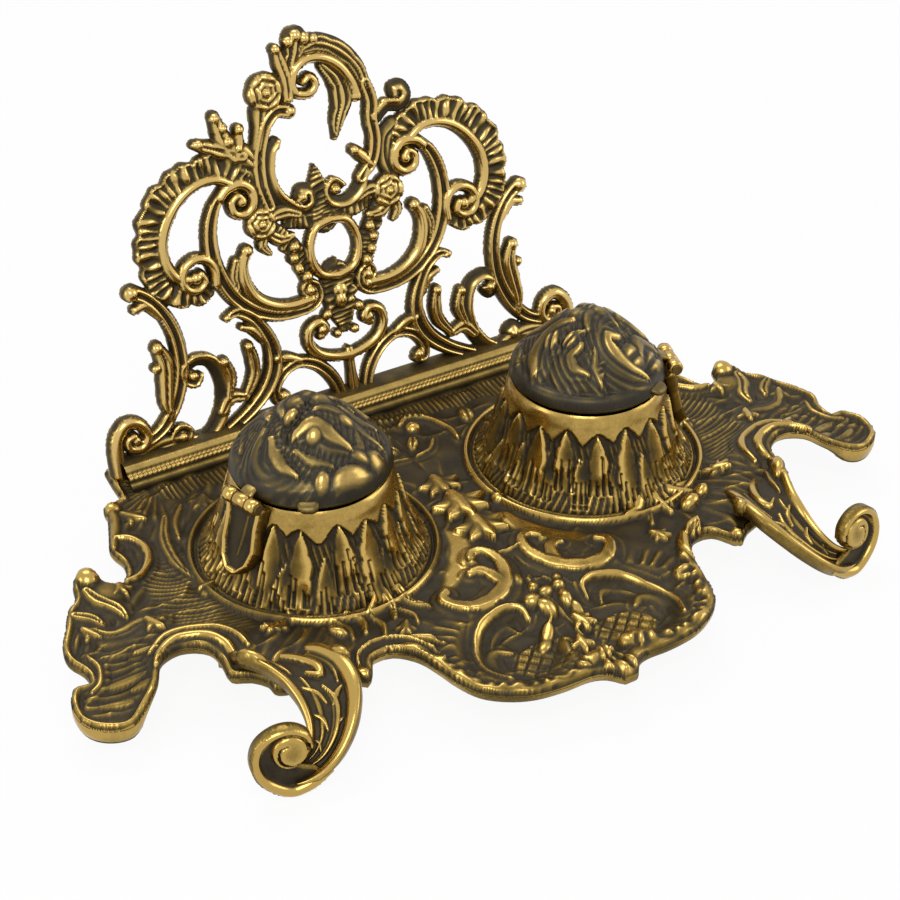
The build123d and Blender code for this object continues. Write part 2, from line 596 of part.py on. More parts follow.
def make_lid(s, name):
    """Domed lid with a thumb tab at the front and the middle knuckle of its hinge."""
    with BuildPart() as lid:
        with BuildSketch(Plane.XZ):
            add(polygon(dome + dome_inside))
        revolve(axis=Axis.Z)
        with BuildSketch(Plane.XY.offset(lid_bottom)):
            with Locations(((lid_r - 1.0) * cos(radians(tab_turn - hinge_turn)),
                            -(lid_r - 1.0) * sin(radians(tab_turn - hinge_turn)))):
                Circle(tab_r)
        extrude(amount=2.4)
        # arm from the rim to the knuckle
        with BuildSketch(Plane.XZ.offset(-middle_knuckle / 2)):
            add(polygon([(24.8, lid_bottom), (hinge_reach - 1.2, lid_bottom),
                         (hinge_reach - 1.2, hinge_z + 2.7), (26.4, 56.0)]))
            with Locations((hinge_reach, hinge_z)):
                Circle(knuckle_r - 0.1)
        extrude(amount=middle_knuckle)
        with BuildSketch(Plane.XZ.offset(-middle_knuckle / 2)):
            with Locations((hinge_reach, hinge_z)):
                Circle(pin_r + pin_clearance)
        extrude(amount=middle_knuckle, mode=Mode.SUBTRACT)
        # notches that clear the fixed knuckles
        for e in (-1, 1):
            with BuildSketch(Plane.XZ.offset(e * (middle_knuckle / 2 + 0.02))):
                with Locations((hinge_reach, hinge_z)):
                    Circle(knuckle_r + knuckle_gap)
            extrude(amount=e * (side_knuckle + 1.6), mode=Mode.SUBTRACT)
        # clear the ink pot again where the tab reaches inwards
        with BuildSketch(Plane.XZ):
            add(polygon([(0, lid_bottom)] + [(24.6, lid_bottom)] + dome_inside[::-1][1:]))
        revolve(axis=Axis.Z, mode=Mode.SUBTRACT)
    return at_hinge(lid.part, s, name)


def make_pot(s, name):
    """Black ink pot that hangs by its flange in the mouth of the well."""
    top = flange_top
    wall = [(0, pot_bottom), (pot_r - 2.0, pot_bottom), (pot_r, pot_bottom + 2.0),
            (pot_r, well_rim_z), (flange_r, well_rim_z), (flange_r, top - 0.4),
            (flange_r - 0.4, top), (16.4, top), (15.8, top - 1.0), (15.8, 46.0),
            (pot_r - pot_wall, 43.0), (pot_r - pot_wall, pot_bottom + 4.6),
            (pot_r - pot_wall - 2.0, pot_bottom + 2.6), (0, pot_bottom + 2.6)]
    with BuildPart() as pot:
        with BuildSketch(Plane.XZ):
            add(polygon(wall))
        revolve(axis=Axis.Z)
    placed = pot.part.moved(Location((s * well_x, well_y, 0)))
    placed.label = name
    return placed


for s, hand in ((-1, "left"), (1, "right")):
    export_step(make_well(s, "well_" + hand), "parts/well_" + hand + ".step")
    export_step(make_strap(s, "hinge_strap_" + hand), "parts/hinge_strap_" + hand + ".step")
    export_step(make_pin(s, "hinge_pin_" + hand), "parts/hinge_pin_" + hand + ".step")
    export_step(make_lid(s, "lid_" + hand), "parts/lid_" + hand + ".step")
    export_step(make_pot(s, "ink_pot_" + hand), "parts/ink_pot_" + hand + ".step")


# ------------------------------------------------------------------ screws and back feet
def make_screw(x, y, seat, length, name):
    """Cheese head screw that is driven up from below, with a slot in its head."""
    with BuildPart() as screw:
        with BuildSketch(Plane.XY.offset(seat - screw_head)):
            Circle(screw_head_r)
        extrude(amount=screw_head)
        with BuildSketch(Plane.XY.offset(seat)):
            Circle(screw_r)
        extrude(amount=length)
        with BuildSketch(Plane.XY.offset(seat - screw_head)):
            Rectangle(2 * screw_head_r, 0.9)
        extrude(amount=0.9, mode=Mode.SUBTRACT)
    placed = screw.part.moved(Location((x, y, 0)))
    placed.label = name
    return placed


places = ("left_front", "left_back", "right_front", "right_back")
well_screw = tray_thick + well_hole - screw_play
for (x, y), place in zip(well_bore_spots, places):
    export_step(make_screw(x, y, tray_under, well_screw, "well_screw_" + place),
                "parts/well_screw_" + place + ".step")
gallery_screw = 3.0 + tray_thick + gallery_hole - screw_play
for (x, y), place in zip(gallery_spots, ("left", "middle", "right")):
    export_step(make_screw(x, y, tray_under - 3.0, gallery_screw, "gallery_screw_" + place),
                "parts/gallery_screw_" + place + ".step")

foot_profile = [(0, 0), (5.6, 0), (back_foot_r, 1.6), (back_foot_r, 3.0), (4.6, 5.4), (4.0, 7.4),
                (5.6, tray_under - 3.0), (2.5, tray_under - 3.0), (2.5, tray_under + 2.0),
                (0, tray_under + 2.0)]
for (x, y), hand in zip(foot_spots, ("left", "right")):
    with BuildPart() as back_foot:
        with BuildSketch(Plane.XZ):
            add(polygon(foot_profile))
        revolve(axis=Axis.Z)
    placed = back_foot.part.moved(Location((x, y, 0)))
    placed.label = "back_foot_" + hand
    export_step(placed, "parts/back_foot_" + hand + ".step")
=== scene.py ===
# %% [markdown]
# # A cast brass desk inkstand
# The real thing is poured in brass from carved patterns, darkened all over, and then polished by
# hand, so the hollows stay grey brown and the ridges shine like gold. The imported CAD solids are
# the fixed frame. Every surface that shows is dressed here with relief worked in millimetres.

# %% Load the frame
import bpy
import numpy as np
from math import atan2, cos, hypot, pi, radians, sin, tan
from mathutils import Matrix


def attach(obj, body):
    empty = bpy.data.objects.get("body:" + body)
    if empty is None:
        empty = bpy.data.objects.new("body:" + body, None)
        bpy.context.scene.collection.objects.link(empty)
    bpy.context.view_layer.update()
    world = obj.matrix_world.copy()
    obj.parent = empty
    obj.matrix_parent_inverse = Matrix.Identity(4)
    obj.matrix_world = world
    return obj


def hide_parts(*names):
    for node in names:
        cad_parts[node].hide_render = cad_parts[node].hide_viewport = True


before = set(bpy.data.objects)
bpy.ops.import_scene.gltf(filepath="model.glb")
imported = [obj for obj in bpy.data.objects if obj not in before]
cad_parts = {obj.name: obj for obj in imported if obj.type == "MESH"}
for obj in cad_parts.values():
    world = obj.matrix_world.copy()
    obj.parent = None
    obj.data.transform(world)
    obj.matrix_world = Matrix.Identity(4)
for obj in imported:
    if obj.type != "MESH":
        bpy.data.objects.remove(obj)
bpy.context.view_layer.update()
MM = 0.001

# %% [markdown]
# ## Relief as a drawing with height
# A carver works with strokes: a band of metal follows a curve, swells, and rolls up at its end.
# `Relief` keeps a fine grid of heights, and each stroke raises the grid along a smooth curve.
# It also keeps how far each point is from the edge of the metal, so openwork can be cut out.

# %% Smooth curves
def smooth(points, gap=0.9):
    """Points close together on a curve that passes through all the given ones."""
    p = np.array(points, float)
    p = np.vstack([2 * p[0] - p[1], p, 2 * p[-1] - p[-2]])
    out = []
    for a, b, c, d in zip(p[:-3], p[1:-2], p[2:-1], p[3:]):
        n = max(1, int(hypot(*(c - b)) / gap))
        t = (np.arange(n) / n)[:, None]
        out.append(0.5 * (2 * b + (c - a) * t + (2 * a - 5 * b + 4 * c - d) * t ** 2
                          + (3 * b - a - 3 * c + d) * t ** 3))
    out.append(p[-2:-1])
    return np.vstack(out)


def ease(a, low, high):
    """Soft step from 0 to 1 between two values."""
    t = np.clip((a - low) / (high - low), 0, 1)
    return t * t * (3 - 2 * t)


# %% Cross sections of a stroke, from -1 at one edge to 1 at the other
def round_bar(s, t):
    return np.sqrt(np.clip(1 - s * s, 0, 1))


def twin_bar(s, t):
    """Two polished ridges with a groove between them."""
    a = np.abs(s)
    return np.sqrt(np.clip(1 - a ** 3, 0, 1)) * (0.66 + 0.34 * np.cos(2 * pi * (a - 0.58) / 1.16))


def channel(s, t):
    """A hollow with a raised rim on both sides."""
    a = np.abs(s)
    return np.sqrt(np.clip(1 - a ** 8, 0, 1)) * (0.3 + 0.7 * np.exp(-((a - 0.76) / 0.2) ** 2))


def leaf(s, t):
    a = np.abs(s)
    return np.sqrt(np.clip(1 - a * a, 0, 1)) * (1 - 0.45 * np.exp(-(a / 0.16) ** 2))


def side_ridge(s, t):
    """High polished ridge along the left edge that falls away to the right."""
    return np.sqrt(np.clip(1 - s ** 4, 0, 1)) * (0.25 + 0.75 * np.clip(0.5 + 0.62 * s, 0, 1) ** 1.5)


def slab(s, t):
    """A flat polished band with a small bevel on both sides."""
    return np.clip((1 - np.abs(s)) * 3.2, 0, 1) ** 0.6 * (0.9 + 0.1 * s)


def side_roll(s, t):
    """A roll with its crest to one side and a fine groove behind the crest."""
    top = np.sqrt(np.clip(1 - np.abs(s) ** 2.4, 0, 1)) * (0.72 + 0.28 * s)
    return top * (1 - 0.22 * np.exp(-((s + 0.1) / 0.13) ** 2))


def tongue(s, t):
    """A broad polished tongue that stands up along one edge."""
    return np.clip((1 - np.abs(s)) * 4, 0, 1) ** 0.6 * (0.78 + 0.22 * s + 0.12 * np.cos(pi * s))


def tongue_left(s, t):
    return tongue(-s, t)


def flat(s, t):
    return np.clip((1 - np.abs(s)) * 4, 0, 1) ** 0.5


def frond(s, t):
    """A leaf with two long grooves in it."""
    return np.sqrt(np.clip(1 - s * s, 0, 1)) * (0.72 + 0.28 * np.cos(3 * pi * s))


# %% The relief grid
class Relief:
    def __init__(self, x0, x1, y0, y1, step):
        self.step = step
        self.x = np.arange(x0, x1 + step / 2, step)
        self.y = np.arange(y0, y1 + step / 2, step)
        self.X, self.Y = np.meshgrid(self.x, self.y)
        self.H = np.zeros_like(self.X)
        self.D = np.full_like(self.X, 99.0)

    def near(self, line, reach):
        i0, i1 = np.searchsorted(self.y, [line[:, 1].min() - reach, line[:, 1].max() + reach])
        j0, j1 = np.searchsorted(self.x, [line[:, 0].min() - reach, line[:, 0].max() + reach])
        return slice(i0, i1), slice(j0, j1)

    def follow(self, points, reach):
        """Signed distance from a curve and how far along it each nearby grid point is."""
        line = smooth(points)
        w = self.near(line, reach)
        X, Y = self.X[w], self.Y[w]
        best = np.full(X.shape, 1e9)
        side = np.zeros(X.shape)
        along = np.zeros(X.shape)
        total = 0.0
        for a, b in zip(line[:-1], line[1:]):
            dx, dy = b - a
            length = hypot(dx, dy)
            if length < 1e-6:
                continue
            px, py = X - a[0], Y - a[1]
            k = np.clip((px * dx + py * dy) / length ** 2, 0, 1)
            d = (px - k * dx) ** 2 + (py - k * dy) ** 2
            hit = d < best
            best = np.where(hit, d, best)
            side = np.where(hit, np.sign(dx * py - dy * px), side)
            along = np.where(hit, total + k * length, along)
            total += length
        return w, np.sqrt(best) * side, along, total

    def stroke(self, points, widths, rise, cross=round_bar, lobes=0, notch=0.0, veins=0.0,
               lean=0.5, lift=0.0, onto=False, solid=True):
        """Raise the grid along a curve. Lobes cut the edges, veins groove it like a leaf."""
        w, off, along, total = self.follow(points, max(widths) / 2 + 2.5)
        t = along / total
        half = np.interp(t, np.linspace(0, 1, len(widths)), widths) / 2
        if lobes:
            wave = np.abs(np.sin(pi * (t * lobes)))
            half = half * (1 - notch * (1 - wave) ** 1.5)
        s = off / np.maximum(half, 1e-3)
        inside = np.abs(s) < 1
        h = rise * cross(np.clip(s, -1, 1), t)
        if veins:
            pitch = np.cos(2 * pi * (t * max(lobes, 1) * 2 - lean * np.abs(s) * 1.6))
            h = h * (1 - veins * 0.5 * (1 - pitch) * np.clip(np.abs(s) * 2, 0, 1))
        H = self.H[w]
        lift = lift[w] if np.ndim(lift) else lift
        if onto:
            self.H[w] = np.where(inside, H + h, H)
        else:
            self.H[w] = np.where(inside, np.maximum(H, lift + h), H)
        if solid:
            self.D[w] = np.minimum(self.D[w], np.abs(off) - half)

    def flutes(self, points, widths, rise, pitch, lobes=0, notch=0.0, deep=0.6, out=1, lift=0.0):
        """A fluted band: grooves run across it, and its outer edge is scalloped."""
        w, off, along, total = self.follow(points, max(widths) / 2 + 2.5)
        t = along / total
        half = np.interp(t, np.linspace(0, 1, len(widths)), widths) / 2
        if lobes:
            half = half * (1 + 0.07 * np.sin(along / 0.9) * (off * out > 0))
            wave = np.abs(np.sin(pi * t * lobes + 0.5 * np.sin(along / 7.0)))
            outer = off * out > 0
            half = np.where(outer, half * (1 - notch * (1 - wave) ** 1.3), half)
        s = off / np.maximum(half, 1e-3)
        inside = np.abs(s) < 1
        bent = along + 0.9 * np.sin(along / 2.7) + 0.7 * s * np.sin(along / 6.1)
        groove = 0.5 + 0.5 * np.cos(2 * pi * bent / pitch)
        edge = np.clip((1 - np.abs(s)) * 3.5, 0, 1) ** 0.5
        rim = np.exp(-((s * out - 0.82) / 0.13) ** 2) * (0.84 + 0.16 * np.cos(bent / 1.15))
        ripple = 0.24 * np.sin(along / 2.3 + 0.8 * s) * np.sin(off / 1.7 + along / 5.0)
        h = rise * edge * np.maximum(0.3 + 0.4 * (1 - deep * groove) + ripple, 0.98 * rim)
        self.H[w] = np.where(inside, np.maximum(self.H[w], lift + h), self.H[w])
        self.D[w] = np.minimum(self.D[w], np.abs(off) - half)

    def dome(self, x, y, r, rise, squash=1.0, lift=0.0, solid=True):
        line = np.array([[x - r, y - r], [x + r, y + r]])
        w = self.near(line, r * squash + 1)
        d = np.hypot(self.X[w] - x, (self.Y[w] - y) / squash)
        h = rise * np.sqrt(np.clip(1 - (d / r) ** 2, 0, 1))
        lift = lift[w] if np.ndim(lift) else lift
        self.H[w] = np.where(d < r, np.maximum(self.H[w], lift + h), self.H[w])
        if solid:
            self.D[w] = np.minimum(self.D[w], d - r)

    def bud(self, x, y, long, wide, turn, rise, lift=0.0, cleft=0.0, solid=False):
        """An oval bud or petal. turn is its direction in degrees, cleft a groove along it."""
        w = self.near(np.array([[x - long, y - long], [x + long, y + long]]), 1)
        a = radians(turn)
        u = (self.X[w] - x) * cos(a) + (self.Y[w] - y) * sin(a)
        v = (self.Y[w] - y) * cos(a) - (self.X[w] - x) * sin(a)
        d = np.hypot(u / long, v / wide)
        h = rise * np.sqrt(np.clip(1 - d * d, 0, 1)) * (1 - cleft * np.exp(-(v / (0.2 * wide)) ** 2))
        lift = lift[w] if np.ndim(lift) else lift
        self.H[w] = np.where(d < 1, np.maximum(self.H[w], lift + h), self.H[w])
        if solid:
            self.D[w] = np.minimum(self.D[w], (d - 1) * wide)

    def blossom(self, x, y, r, rise, petals=5, turn=0.0, lift=0.0, solid=True):
        """A rose: a ring of cupped petals round a raised heart."""
        for k in range(petals):
            a = turn + 2 * pi * k / petals
            self.bud(x + 0.54 * r * cos(a), y + 0.54 * r * sin(a), 0.6 * r, 0.46 * r,
                     90 + a * 180 / pi, rise * (0.85 + 0.12 * (k % 2)), lift, cleft=0.4,
                     solid=solid)
        self.dome(x, y, 0.3 * r, rise * 1.1, lift=lift, solid=solid)

    def palm(self, x, y, reach, turn, spread, lobes, rise, wide=0.3, lift=0.0, solid=False):
        """A leaf whose lobes fan out from one point, each a rounded ridge that tapers."""
        for k in range(lobes):
            part = 2 * k / (lobes - 1) - 1 if lobes > 1 else 0.0
            a = radians(turn + spread * part)
            far = reach * (1 - 0.28 * part * part)
            bend = radians(turn + 0.45 * spread * part)
            mid = (x + 0.52 * far * cos(bend), y + 0.52 * far * sin(bend))
            tip = (x + far * cos(a), y + far * sin(a))
            broad = wide * reach
            self.stroke([(x, y), mid, tip], [w * broad for w in (0.9, 1.4, 1.35, 1.1, 0.4)],
                        1.1 * rise * (1 - 0.2 * abs(part)), round_bar, lift=lift, solid=solid)

    def blur(self, a, size):
        """Soft average over about the given size in millimetres."""
        fy = np.fft.fftfreq(a.shape[0], self.step)[:, None]
        fx = np.fft.rfftfreq(a.shape[1], self.step)[None]
        soft = np.exp(-2 * (pi * size) ** 2 * (fx ** 2 + fy ** 2))
        return np.fft.irfft2(np.fft.rfft2(a) * soft, s=a.shape)

    def wear(self, low=0.9, high=2.2, tall=0.5, keen=1.0, base=0.0):
        """0 in the hollows, where the dark stays, to 1 on the high metal that gets rubbed."""
        mask = (self.D < 0).astype(float)
        out = 0.1 + tall * ease(self.H - base, low, high)
        for size, weight, scale in ((0.55, 0.3, 0.16), (1.8, 0.34, 0.75)):
            soft = self.blur(self.H * mask, size) / np.maximum(self.blur(mask, size), 0.05)
            out += weight * np.tanh((self.H - soft) / scale * keen)
        return np.clip(out, 0, 1)


# %% [markdown]
# ## From grid to metal
# A grid of small squares would have a ragged edge where the openwork is cut. The points nearest
# to the edge are moved onto it, along the slope of the distance, so the cut is a clean line.
# The front, the back and the wall between them close up into one solid casting.

# %% Build a mesh from a relief
def add_mesh(name, points, faces, wear=None, shade=True):
    mesh = bpy.data.meshes.new(name)
    faces = np.asarray(faces)
    mesh.vertices.add(len(points))
    mesh.vertices.foreach_set("co", (np.asarray(points) * MM).astype("f4").ravel())
    n = faces.shape[1]
    mesh.loops.add(faces.size)
    mesh.loops.foreach_set("vertex_index", faces.ravel().astype("i4"))
    mesh.polygons.add(len(faces))
    mesh.polygons.foreach_set("loop_start", np.arange(0, faces.size, n, dtype="i4"))
    mesh.update(calc_edges=True)
    mesh.validate()
    if shade:
        mesh.shade_smooth()
    if wear is not None:
        data = mesh.attributes.new("wear", "FLOAT", "POINT")
        data.data.foreach_set("value", np.asarray(wear, dtype="f4"))
    obj = bpy.data.objects.new(name, mesh)
    bpy.context.scene.collection.objects.link(obj)
    return obj


def cast(name, relief, place, back=None, wear=None, inner=None):
    """Mesh of the metal part of a relief. place(x, y, h) gives the point in space."""
    D, step = relief.D, relief.step
    gy, gx = np.gradient(D, step)
    keep = D < 0.4 * step
    cell = keep[:-1, :-1] & keep[1:, :-1] & keep[:-1, 1:] & keep[1:, 1:]
    count = np.zeros(D.shape, int)
    for a in (slice(0, -1), slice(1, None)):
        for b in (slice(0, -1), slice(1, None)):
            count[a, b] += cell
    used = count > 0
    edge = used & (count < 4)
    norm = np.maximum(gx * gx + gy * gy, 0.25)
    move = np.where(edge, np.clip(-D, -1.1 * step, 1.1 * step), 0)
    X = relief.X + move * gx / norm
    Y = relief.Y + move * gy / norm
    H = relief.H
    index = np.full(D.shape, -1)
    index[used] = np.arange(used.sum())
    n = int(used.sum())
    points = place(X[used], Y[used], H[used])
    a, b, c, d = (index[:-1, :-1][cell], index[:-1, 1:][cell], index[1:, 1:][cell],
                  index[1:, :-1][cell])
    faces = [np.stack([a, b, c, d], 1)]
    values = (relief.wear() if wear is None else wear)[used]
    if back is not None:
        B = back if np.ndim(back) else np.full(D.shape, float(back))
        points = np.vstack([points, place(X[used], Y[used], B[used])])
        faces.append(np.stack([d, c, b, a], 1) + n)
        values = np.concatenate([values, np.full(n, 0.42) if inner is None else inner[used]])
        pad = np.zeros((cell.shape[0] + 2, cell.shape[1] + 2), bool)
        pad[1:-1, 1:-1] = cell
        low = pad[1:, 1:-1] & ~pad[:-1, 1:-1]     # cell above the edge, none below
        i, j = np.nonzero(low)
        p, q = index[i, j], index[i, j + 1]
        faces.append(np.stack([q, p, p + n, q + n], 1))
        high = pad[:-1, 1:-1] & ~pad[1:, 1:-1]
        i, j = np.nonzero(high)
        p, q = index[i, j], index[i, j + 1]
        faces.append(np.stack([p, q, q + n, p + n], 1))
        left = pad[1:-1, 1:] & ~pad[1:-1, :-1]
        i, j = np.nonzero(left)
        p, q = index[i, j], index[i + 1, j]
        faces.append(np.stack([p, q, q + n, p + n], 1))
        right = pad[1:-1, :-1] & ~pad[1:-1, 1:]
        i, j = np.nonzero(right)
        p, q = index[i, j], index[i + 1, j]
        faces.append(np.stack([q, p, p + n, q + n], 1))
    return add_mesh(name, points, np.vstack(faces), values)


# %% [markdown]
# ## The gallery
# The back is an openwork of C and S scrolls round two fluted fans, crowned by a cartouche with
# an acanthus leaf. It leans back. Each stroke is given as (x, height over the desk).

# %% Gallery strokes, the same on both sides
LEAN = radians(14)
GALLERY_Y, TRAY_TOP = 72.4, 17.0


def up(points, s=1):
    return [(s * x, (z - TRAY_TOP) / cos(LEAN)) for x, z in points]


both_sides = [
    # the great C with two ridges, and the coil at its head
    ([(39.5, 106.5), (44, 101), (46.6, 94), (47.2, 86), (45.6, 77.5), (41.5, 69), (35, 62.5),
      (27.5, 58.6), (20, 57.2), (12.5, 57.6), (8.8, 60.6), (9.4, 64.8), (12.6, 66.4),
      (14.2, 63.8), (12, 62)], [3, 5, 5.6, 5.6, 5, 4.4, 3.4, 2.8, 2.2], 3.1, twin_bar),
    ([(41, 104.5), (38.2, 106.8), (33, 107.6), (29, 104.6), (28.8, 99.8), (32, 96.8),
      (36.2, 97.8), (37.2, 101.6), (34.4, 103.8), (32.4, 101.8)], [3.4, 3.6, 3.4, 2.8, 2.2],
     3.4, round_bar),
    # polished band inside the fan, and its coil
    ([(35, 107.5), (41, 111), (48, 111.2), (55, 108.3), (61, 102.5), (64.8, 95), (65, 87.5),
      (62, 81.5), (57.5, 79.4)], [2.6, 3.4, 3.8, 3.4], 3.2, round_bar),
    ([(47.5, 75.5), (47.3, 80.5), (49.5, 84.5), (53.8, 86), (58.2, 84.2), (60.2, 80),
      (58.4, 76.2), (54.6, 75.2), (51.6, 77.4), (52.8, 80.6)], [3, 3.2, 3.2, 2.8, 2.2], 3.5,
     round_bar),
    # inner strand with its leaf head
    ([(34.3, 84), (36.6, 79), (36.3, 72.5), (33, 66.3), (27, 62.2), (20, 60.4), (12, 60.6)],
     [3.6, 4.4, 4, 3.2, 2.6], 3.4, round_bar),
    ([(38.8, 81), (40.4, 76), (39.5, 70.5)], [2.6, 3.2, 1.2], 2.6, leaf),
    # outer leg and its leaves
    ([(79, 80.4), (74, 77), (69.6, 71.5), (66.3, 63.5), (65.3, 54.5), (66.4, 46.5), (70, 38),
      (75.6, 31), (82, 27.6), (87, 26.6)], [5, 3.8, 4.6, 5, 5.2, 5.2, 4.8, 4.2, 3.6], 3.0,
     twin_bar),
    ([(79, 74.2), (74.5, 74.6), (70.5, 69.5)], [2.6, 3.2, 1.6], 2.6, round_bar),
    ([(73.4, 59.4), (71.6, 53), (72.6, 45), (73.5, 38.5), (72.5, 33)], [3.4, 6, 5.6, 4.6, 2],
     3.4, leaf),
    # side scroll with an eye at each end
    ([(59.6, 44.8), (61.6, 42.8), (64.4, 44.6), (64.4, 48.6), (59.8, 50.8), (54.6, 49),
      (51.6, 43.5), (51, 36.5), (53.2, 29.5), (58, 23.8), (64.5, 20.8), (70.5, 21.4),
      (72.8, 25.2), (70.2, 28.2), (67, 26.4), (68.4, 23.8)],
     [2.4, 3.2, 3.6, 4.4, 5, 4.6, 4, 3.4, 3, 2.2], 3.2, side_ridge),
    ([(49.4, 47.4), (47.8, 41), (50, 34)], [3, 4.2, 2], 3.2, leaf),
    # inner leg
    ([(46, 62.4), (41.5, 63.4), (36.4, 60.4), (32.4, 54.5), (30, 47.5), (30.3, 40.5),
      (34, 33.8), (41, 27.8), (49, 23.4), (57, 20)], [1.6, 4, 4, 5, 6.4, 6.2, 5.4, 4.6, 4, 3],
     3.3, twin_bar),
    ([(40.5, 57.6), (36.4, 55.4), (33, 50.5)], [1.6, 3, 2], 2.6, round_bar),
    ([(39.3, 50.4), (38.2, 44.5), (38.8, 39), (43, 33)], [3, 4.4, 4, 2], 3.2, leaf),
    ([(43.6, 32.6), (49, 33.6), (53, 29.6)], [3, 5, 3], 3.0, leaf),
    # arch at the foot, and the heart over it
    ([(4.5, 20), (7.6, 29), (13, 35.6), (20, 38.8), (27, 37), (31.2, 31.6), (30.6, 27),
      (27.4, 27.4)], [3.6, 4.2, 4, 3.8, 3.4, 3], 3.0, twin_bar),
    ([(10.4, 46.2), (8, 48.4), (10.4, 51.4), (14.6, 49.6), (15.4, 44.5), (12, 39.8), (6, 37.2),
      (0, 36.2)], [2.4, 3, 3.4, 3.6, 3.2, 3.4], 3.2, round_bar),
    ([(20, 39.6), (25, 42), (29, 42.5)], [2.4, 3, 3], 2.6, round_bar),
    # scroll at the end of the rail
    ([(95.2, 18.0), (95.2, 25), (94, 31.6), (90, 35.6), (84.8, 34.2), (82.8, 29.4),
      (85.6, 25.8), (89.8, 26.6), (90.6, 29.8), (87.8, 30.8)], [5.2, 5, 4.2, 3.4, 2.8, 2.2],
     3.4, round_bar),
    ([(58, 19), (69, 23.5), (80, 24), (92, 20)], [3, 5, 6, 5], 2.6, leaf),
    # band round the oval, and small leaves by the rose
    ([(0, 87), (6.2, 85.4), (9.4, 79.5), (9.2, 73), (6.2, 68.2), (0, 66.4)], [2.8, 2.8, 2.8],
     3.4, round_bar),
    ([(25, 88), (20.5, 84.6), (15.6, 84.8)], [3, 4.6, 1.4], 2.8, leaf),
    ([(26, 88), (27.6, 84), (25.4, 80.8)], [2.6, 3.6, 1.2], 2.6, leaf),
    ([(23, 93), (17, 93.4), (12, 91.6)], [3.6, 4.6, 2.4], 2.6, leaf),
    ([(27.5, 95.6), (25.4, 103), (26.6, 110), (30.5, 113)], [5, 5.4, 6, 7], 2.0, leaf),
]
# A dome: x, height, radius, rise
both_domes = [
    (54.8, 79.4, 2.7, 3.9), (33.2, 101.4, 2.3, 3.8), (12, 63.8, 2.1, 3.9), (34.2, 83.8, 2.7, 4.0),
    (79.6, 80.2, 3.1, 3.9), (61.9, 45.6, 2.1, 3.7), (69.6, 25.2, 2.0, 3.6), (73.6, 59, 2.5, 3.9),
    (75.2, 52, 1.9, 3.4), (49.6, 47.4, 2.0, 3.7), (45.6, 62.4, 1.7, 3.2), (39.3, 50.2, 2.0, 3.6),
    (28.3, 28.6, 2.3, 3.8), (9.8, 48.4, 2.1, 3.7), (87.4, 29.2, 2.0, 3.8), (7.0, 20.5, 3.2, 3.6),
    (15.4, 80.6, 2.2, 3.4), (16.2, 76.6, 2.0, 3.3), (14.8, 72.4, 2.0, 3.4), (12.2, 68.8, 2.4, 3.5),
    (6.6, 53.2, 2.1, 3.2), (3.6, 45.2, 1.8, 3.0), (92.5, 19.8, 3.2, 3.2)]

# %% The crest, which is not the same on its two sides
crest = [
    ([(-9.5, 127.6), (-14.5, 128.8), (-19, 125.6), (-22, 120), (-24.2, 113), (-24.5, 105),
      (-22.6, 97)], [4.4, 4.4, 4.6, 4.4, 5, 4.6, 4], 3.2, twin_bar),
    ([(-16.6, 118.6), (-19.6, 115), (-21.2, 108.5), (-19.6, 101), (-15, 95.2), (-9.6, 92.2),
      (-5.4, 94), (-5.6, 98.4), (-9.6, 100), (-11.4, 97.4)], [2.6, 4.4, 4.2, 4.2, 4, 3.4, 2.6],
     3.5, side_ridge),
    ([(-24, 118), (-22, 124), (-20.6, 130)], [4, 5, 7], 2.4, leaf),
    ([(-11.6, 149.4), (-10.4, 144), (-9.2, 138.5), (-9.5, 132.5)], [2.8, 4.6, 4.6, 4], 3.2, leaf),
    ([(-3.4, 151.4), (-4.6, 147), (-7, 141.5), (-8, 135)], [8.6, 7.4, 6, 4], 2.6, frond),
    ([(-1.2, 147.6), (4, 148.6), (9.6, 146.4), (15, 142.2), (19.4, 136.3), (21, 130)],
     [4, 6, 6.4, 6, 5, 4], 2.6, frond),
    ([(-6.4, 133.4), (-7.4, 137), (-5.6, 141.4), (-0.6, 144), (5.6, 143.2), (11.4, 139.4),
      (15.4, 133.4), (17.2, 127.6)], [2.4, 2.8, 3, 3.4, 3.6, 3.2, 2.8], 3.6, round_bar),
    ([(-6, 133), (-1.4, 132.2), (1.6, 135), (-0.4, 138), (-3, 136.6)], [3, 3, 2.6, 2], 3.4,
     round_bar),
    ([(5.6, 140.6), (10.4, 134.6), (11.6, 127.4), (8.6, 120.4), (6.6, 114.6)],
     [3, 7, 8, 5.4, 1.0], 2.8, frond),
    ([(21, 131), (22.6, 124.6), (21.6, 118.5), (22, 111), (19.6, 103.6), (14.4, 98.4)],
     [4.4, 5, 4.8, 4.8, 4.6, 3.8], 3.2, twin_bar),
    ([(13.2, 109), (16.4, 105.6), (18.8, 102.6)], [3, 4, 2], 3.2, round_bar),
    ([(16, 101), (13, 94.8), (7.6, 91.8), (2.4, 93), (0.8, 97), (3.4, 99.8), (6.2, 97.8)],
     [3, 3.8, 3.6, 3.2, 2.8, 2.2], 3.5, side_ridge),
    ([(24, 118.4), (28.6, 121.4), (34, 120.6), (37.2, 123.4), (35.4, 127.2), (31.8, 127.2),
      (31.6, 124.8)], [4.6, 4.4, 4, 3.6, 3, 2.2], 3.2, side_ridge),
    ([(-30, 116.5), (-38, 120.4), (-47, 124.4)], [6, 6.4, 2.6], 2.8, leaf),
    ([(-33, 117), (-36.6, 125), (-38.2, 132)], [7, 6, 3.6], 2.8, leaf),
    ([(-26, 113.5), (-30, 118), (-33, 119)], [5, 6, 6], 2.4, leaf),
    ([(-31.6, 117.6), (-30.4, 122), (-30, 126)], [3.6, 3.4, 2.6], 2.8, round_bar),
]
crest_leaves = [4, 5, 8, 13, 14]
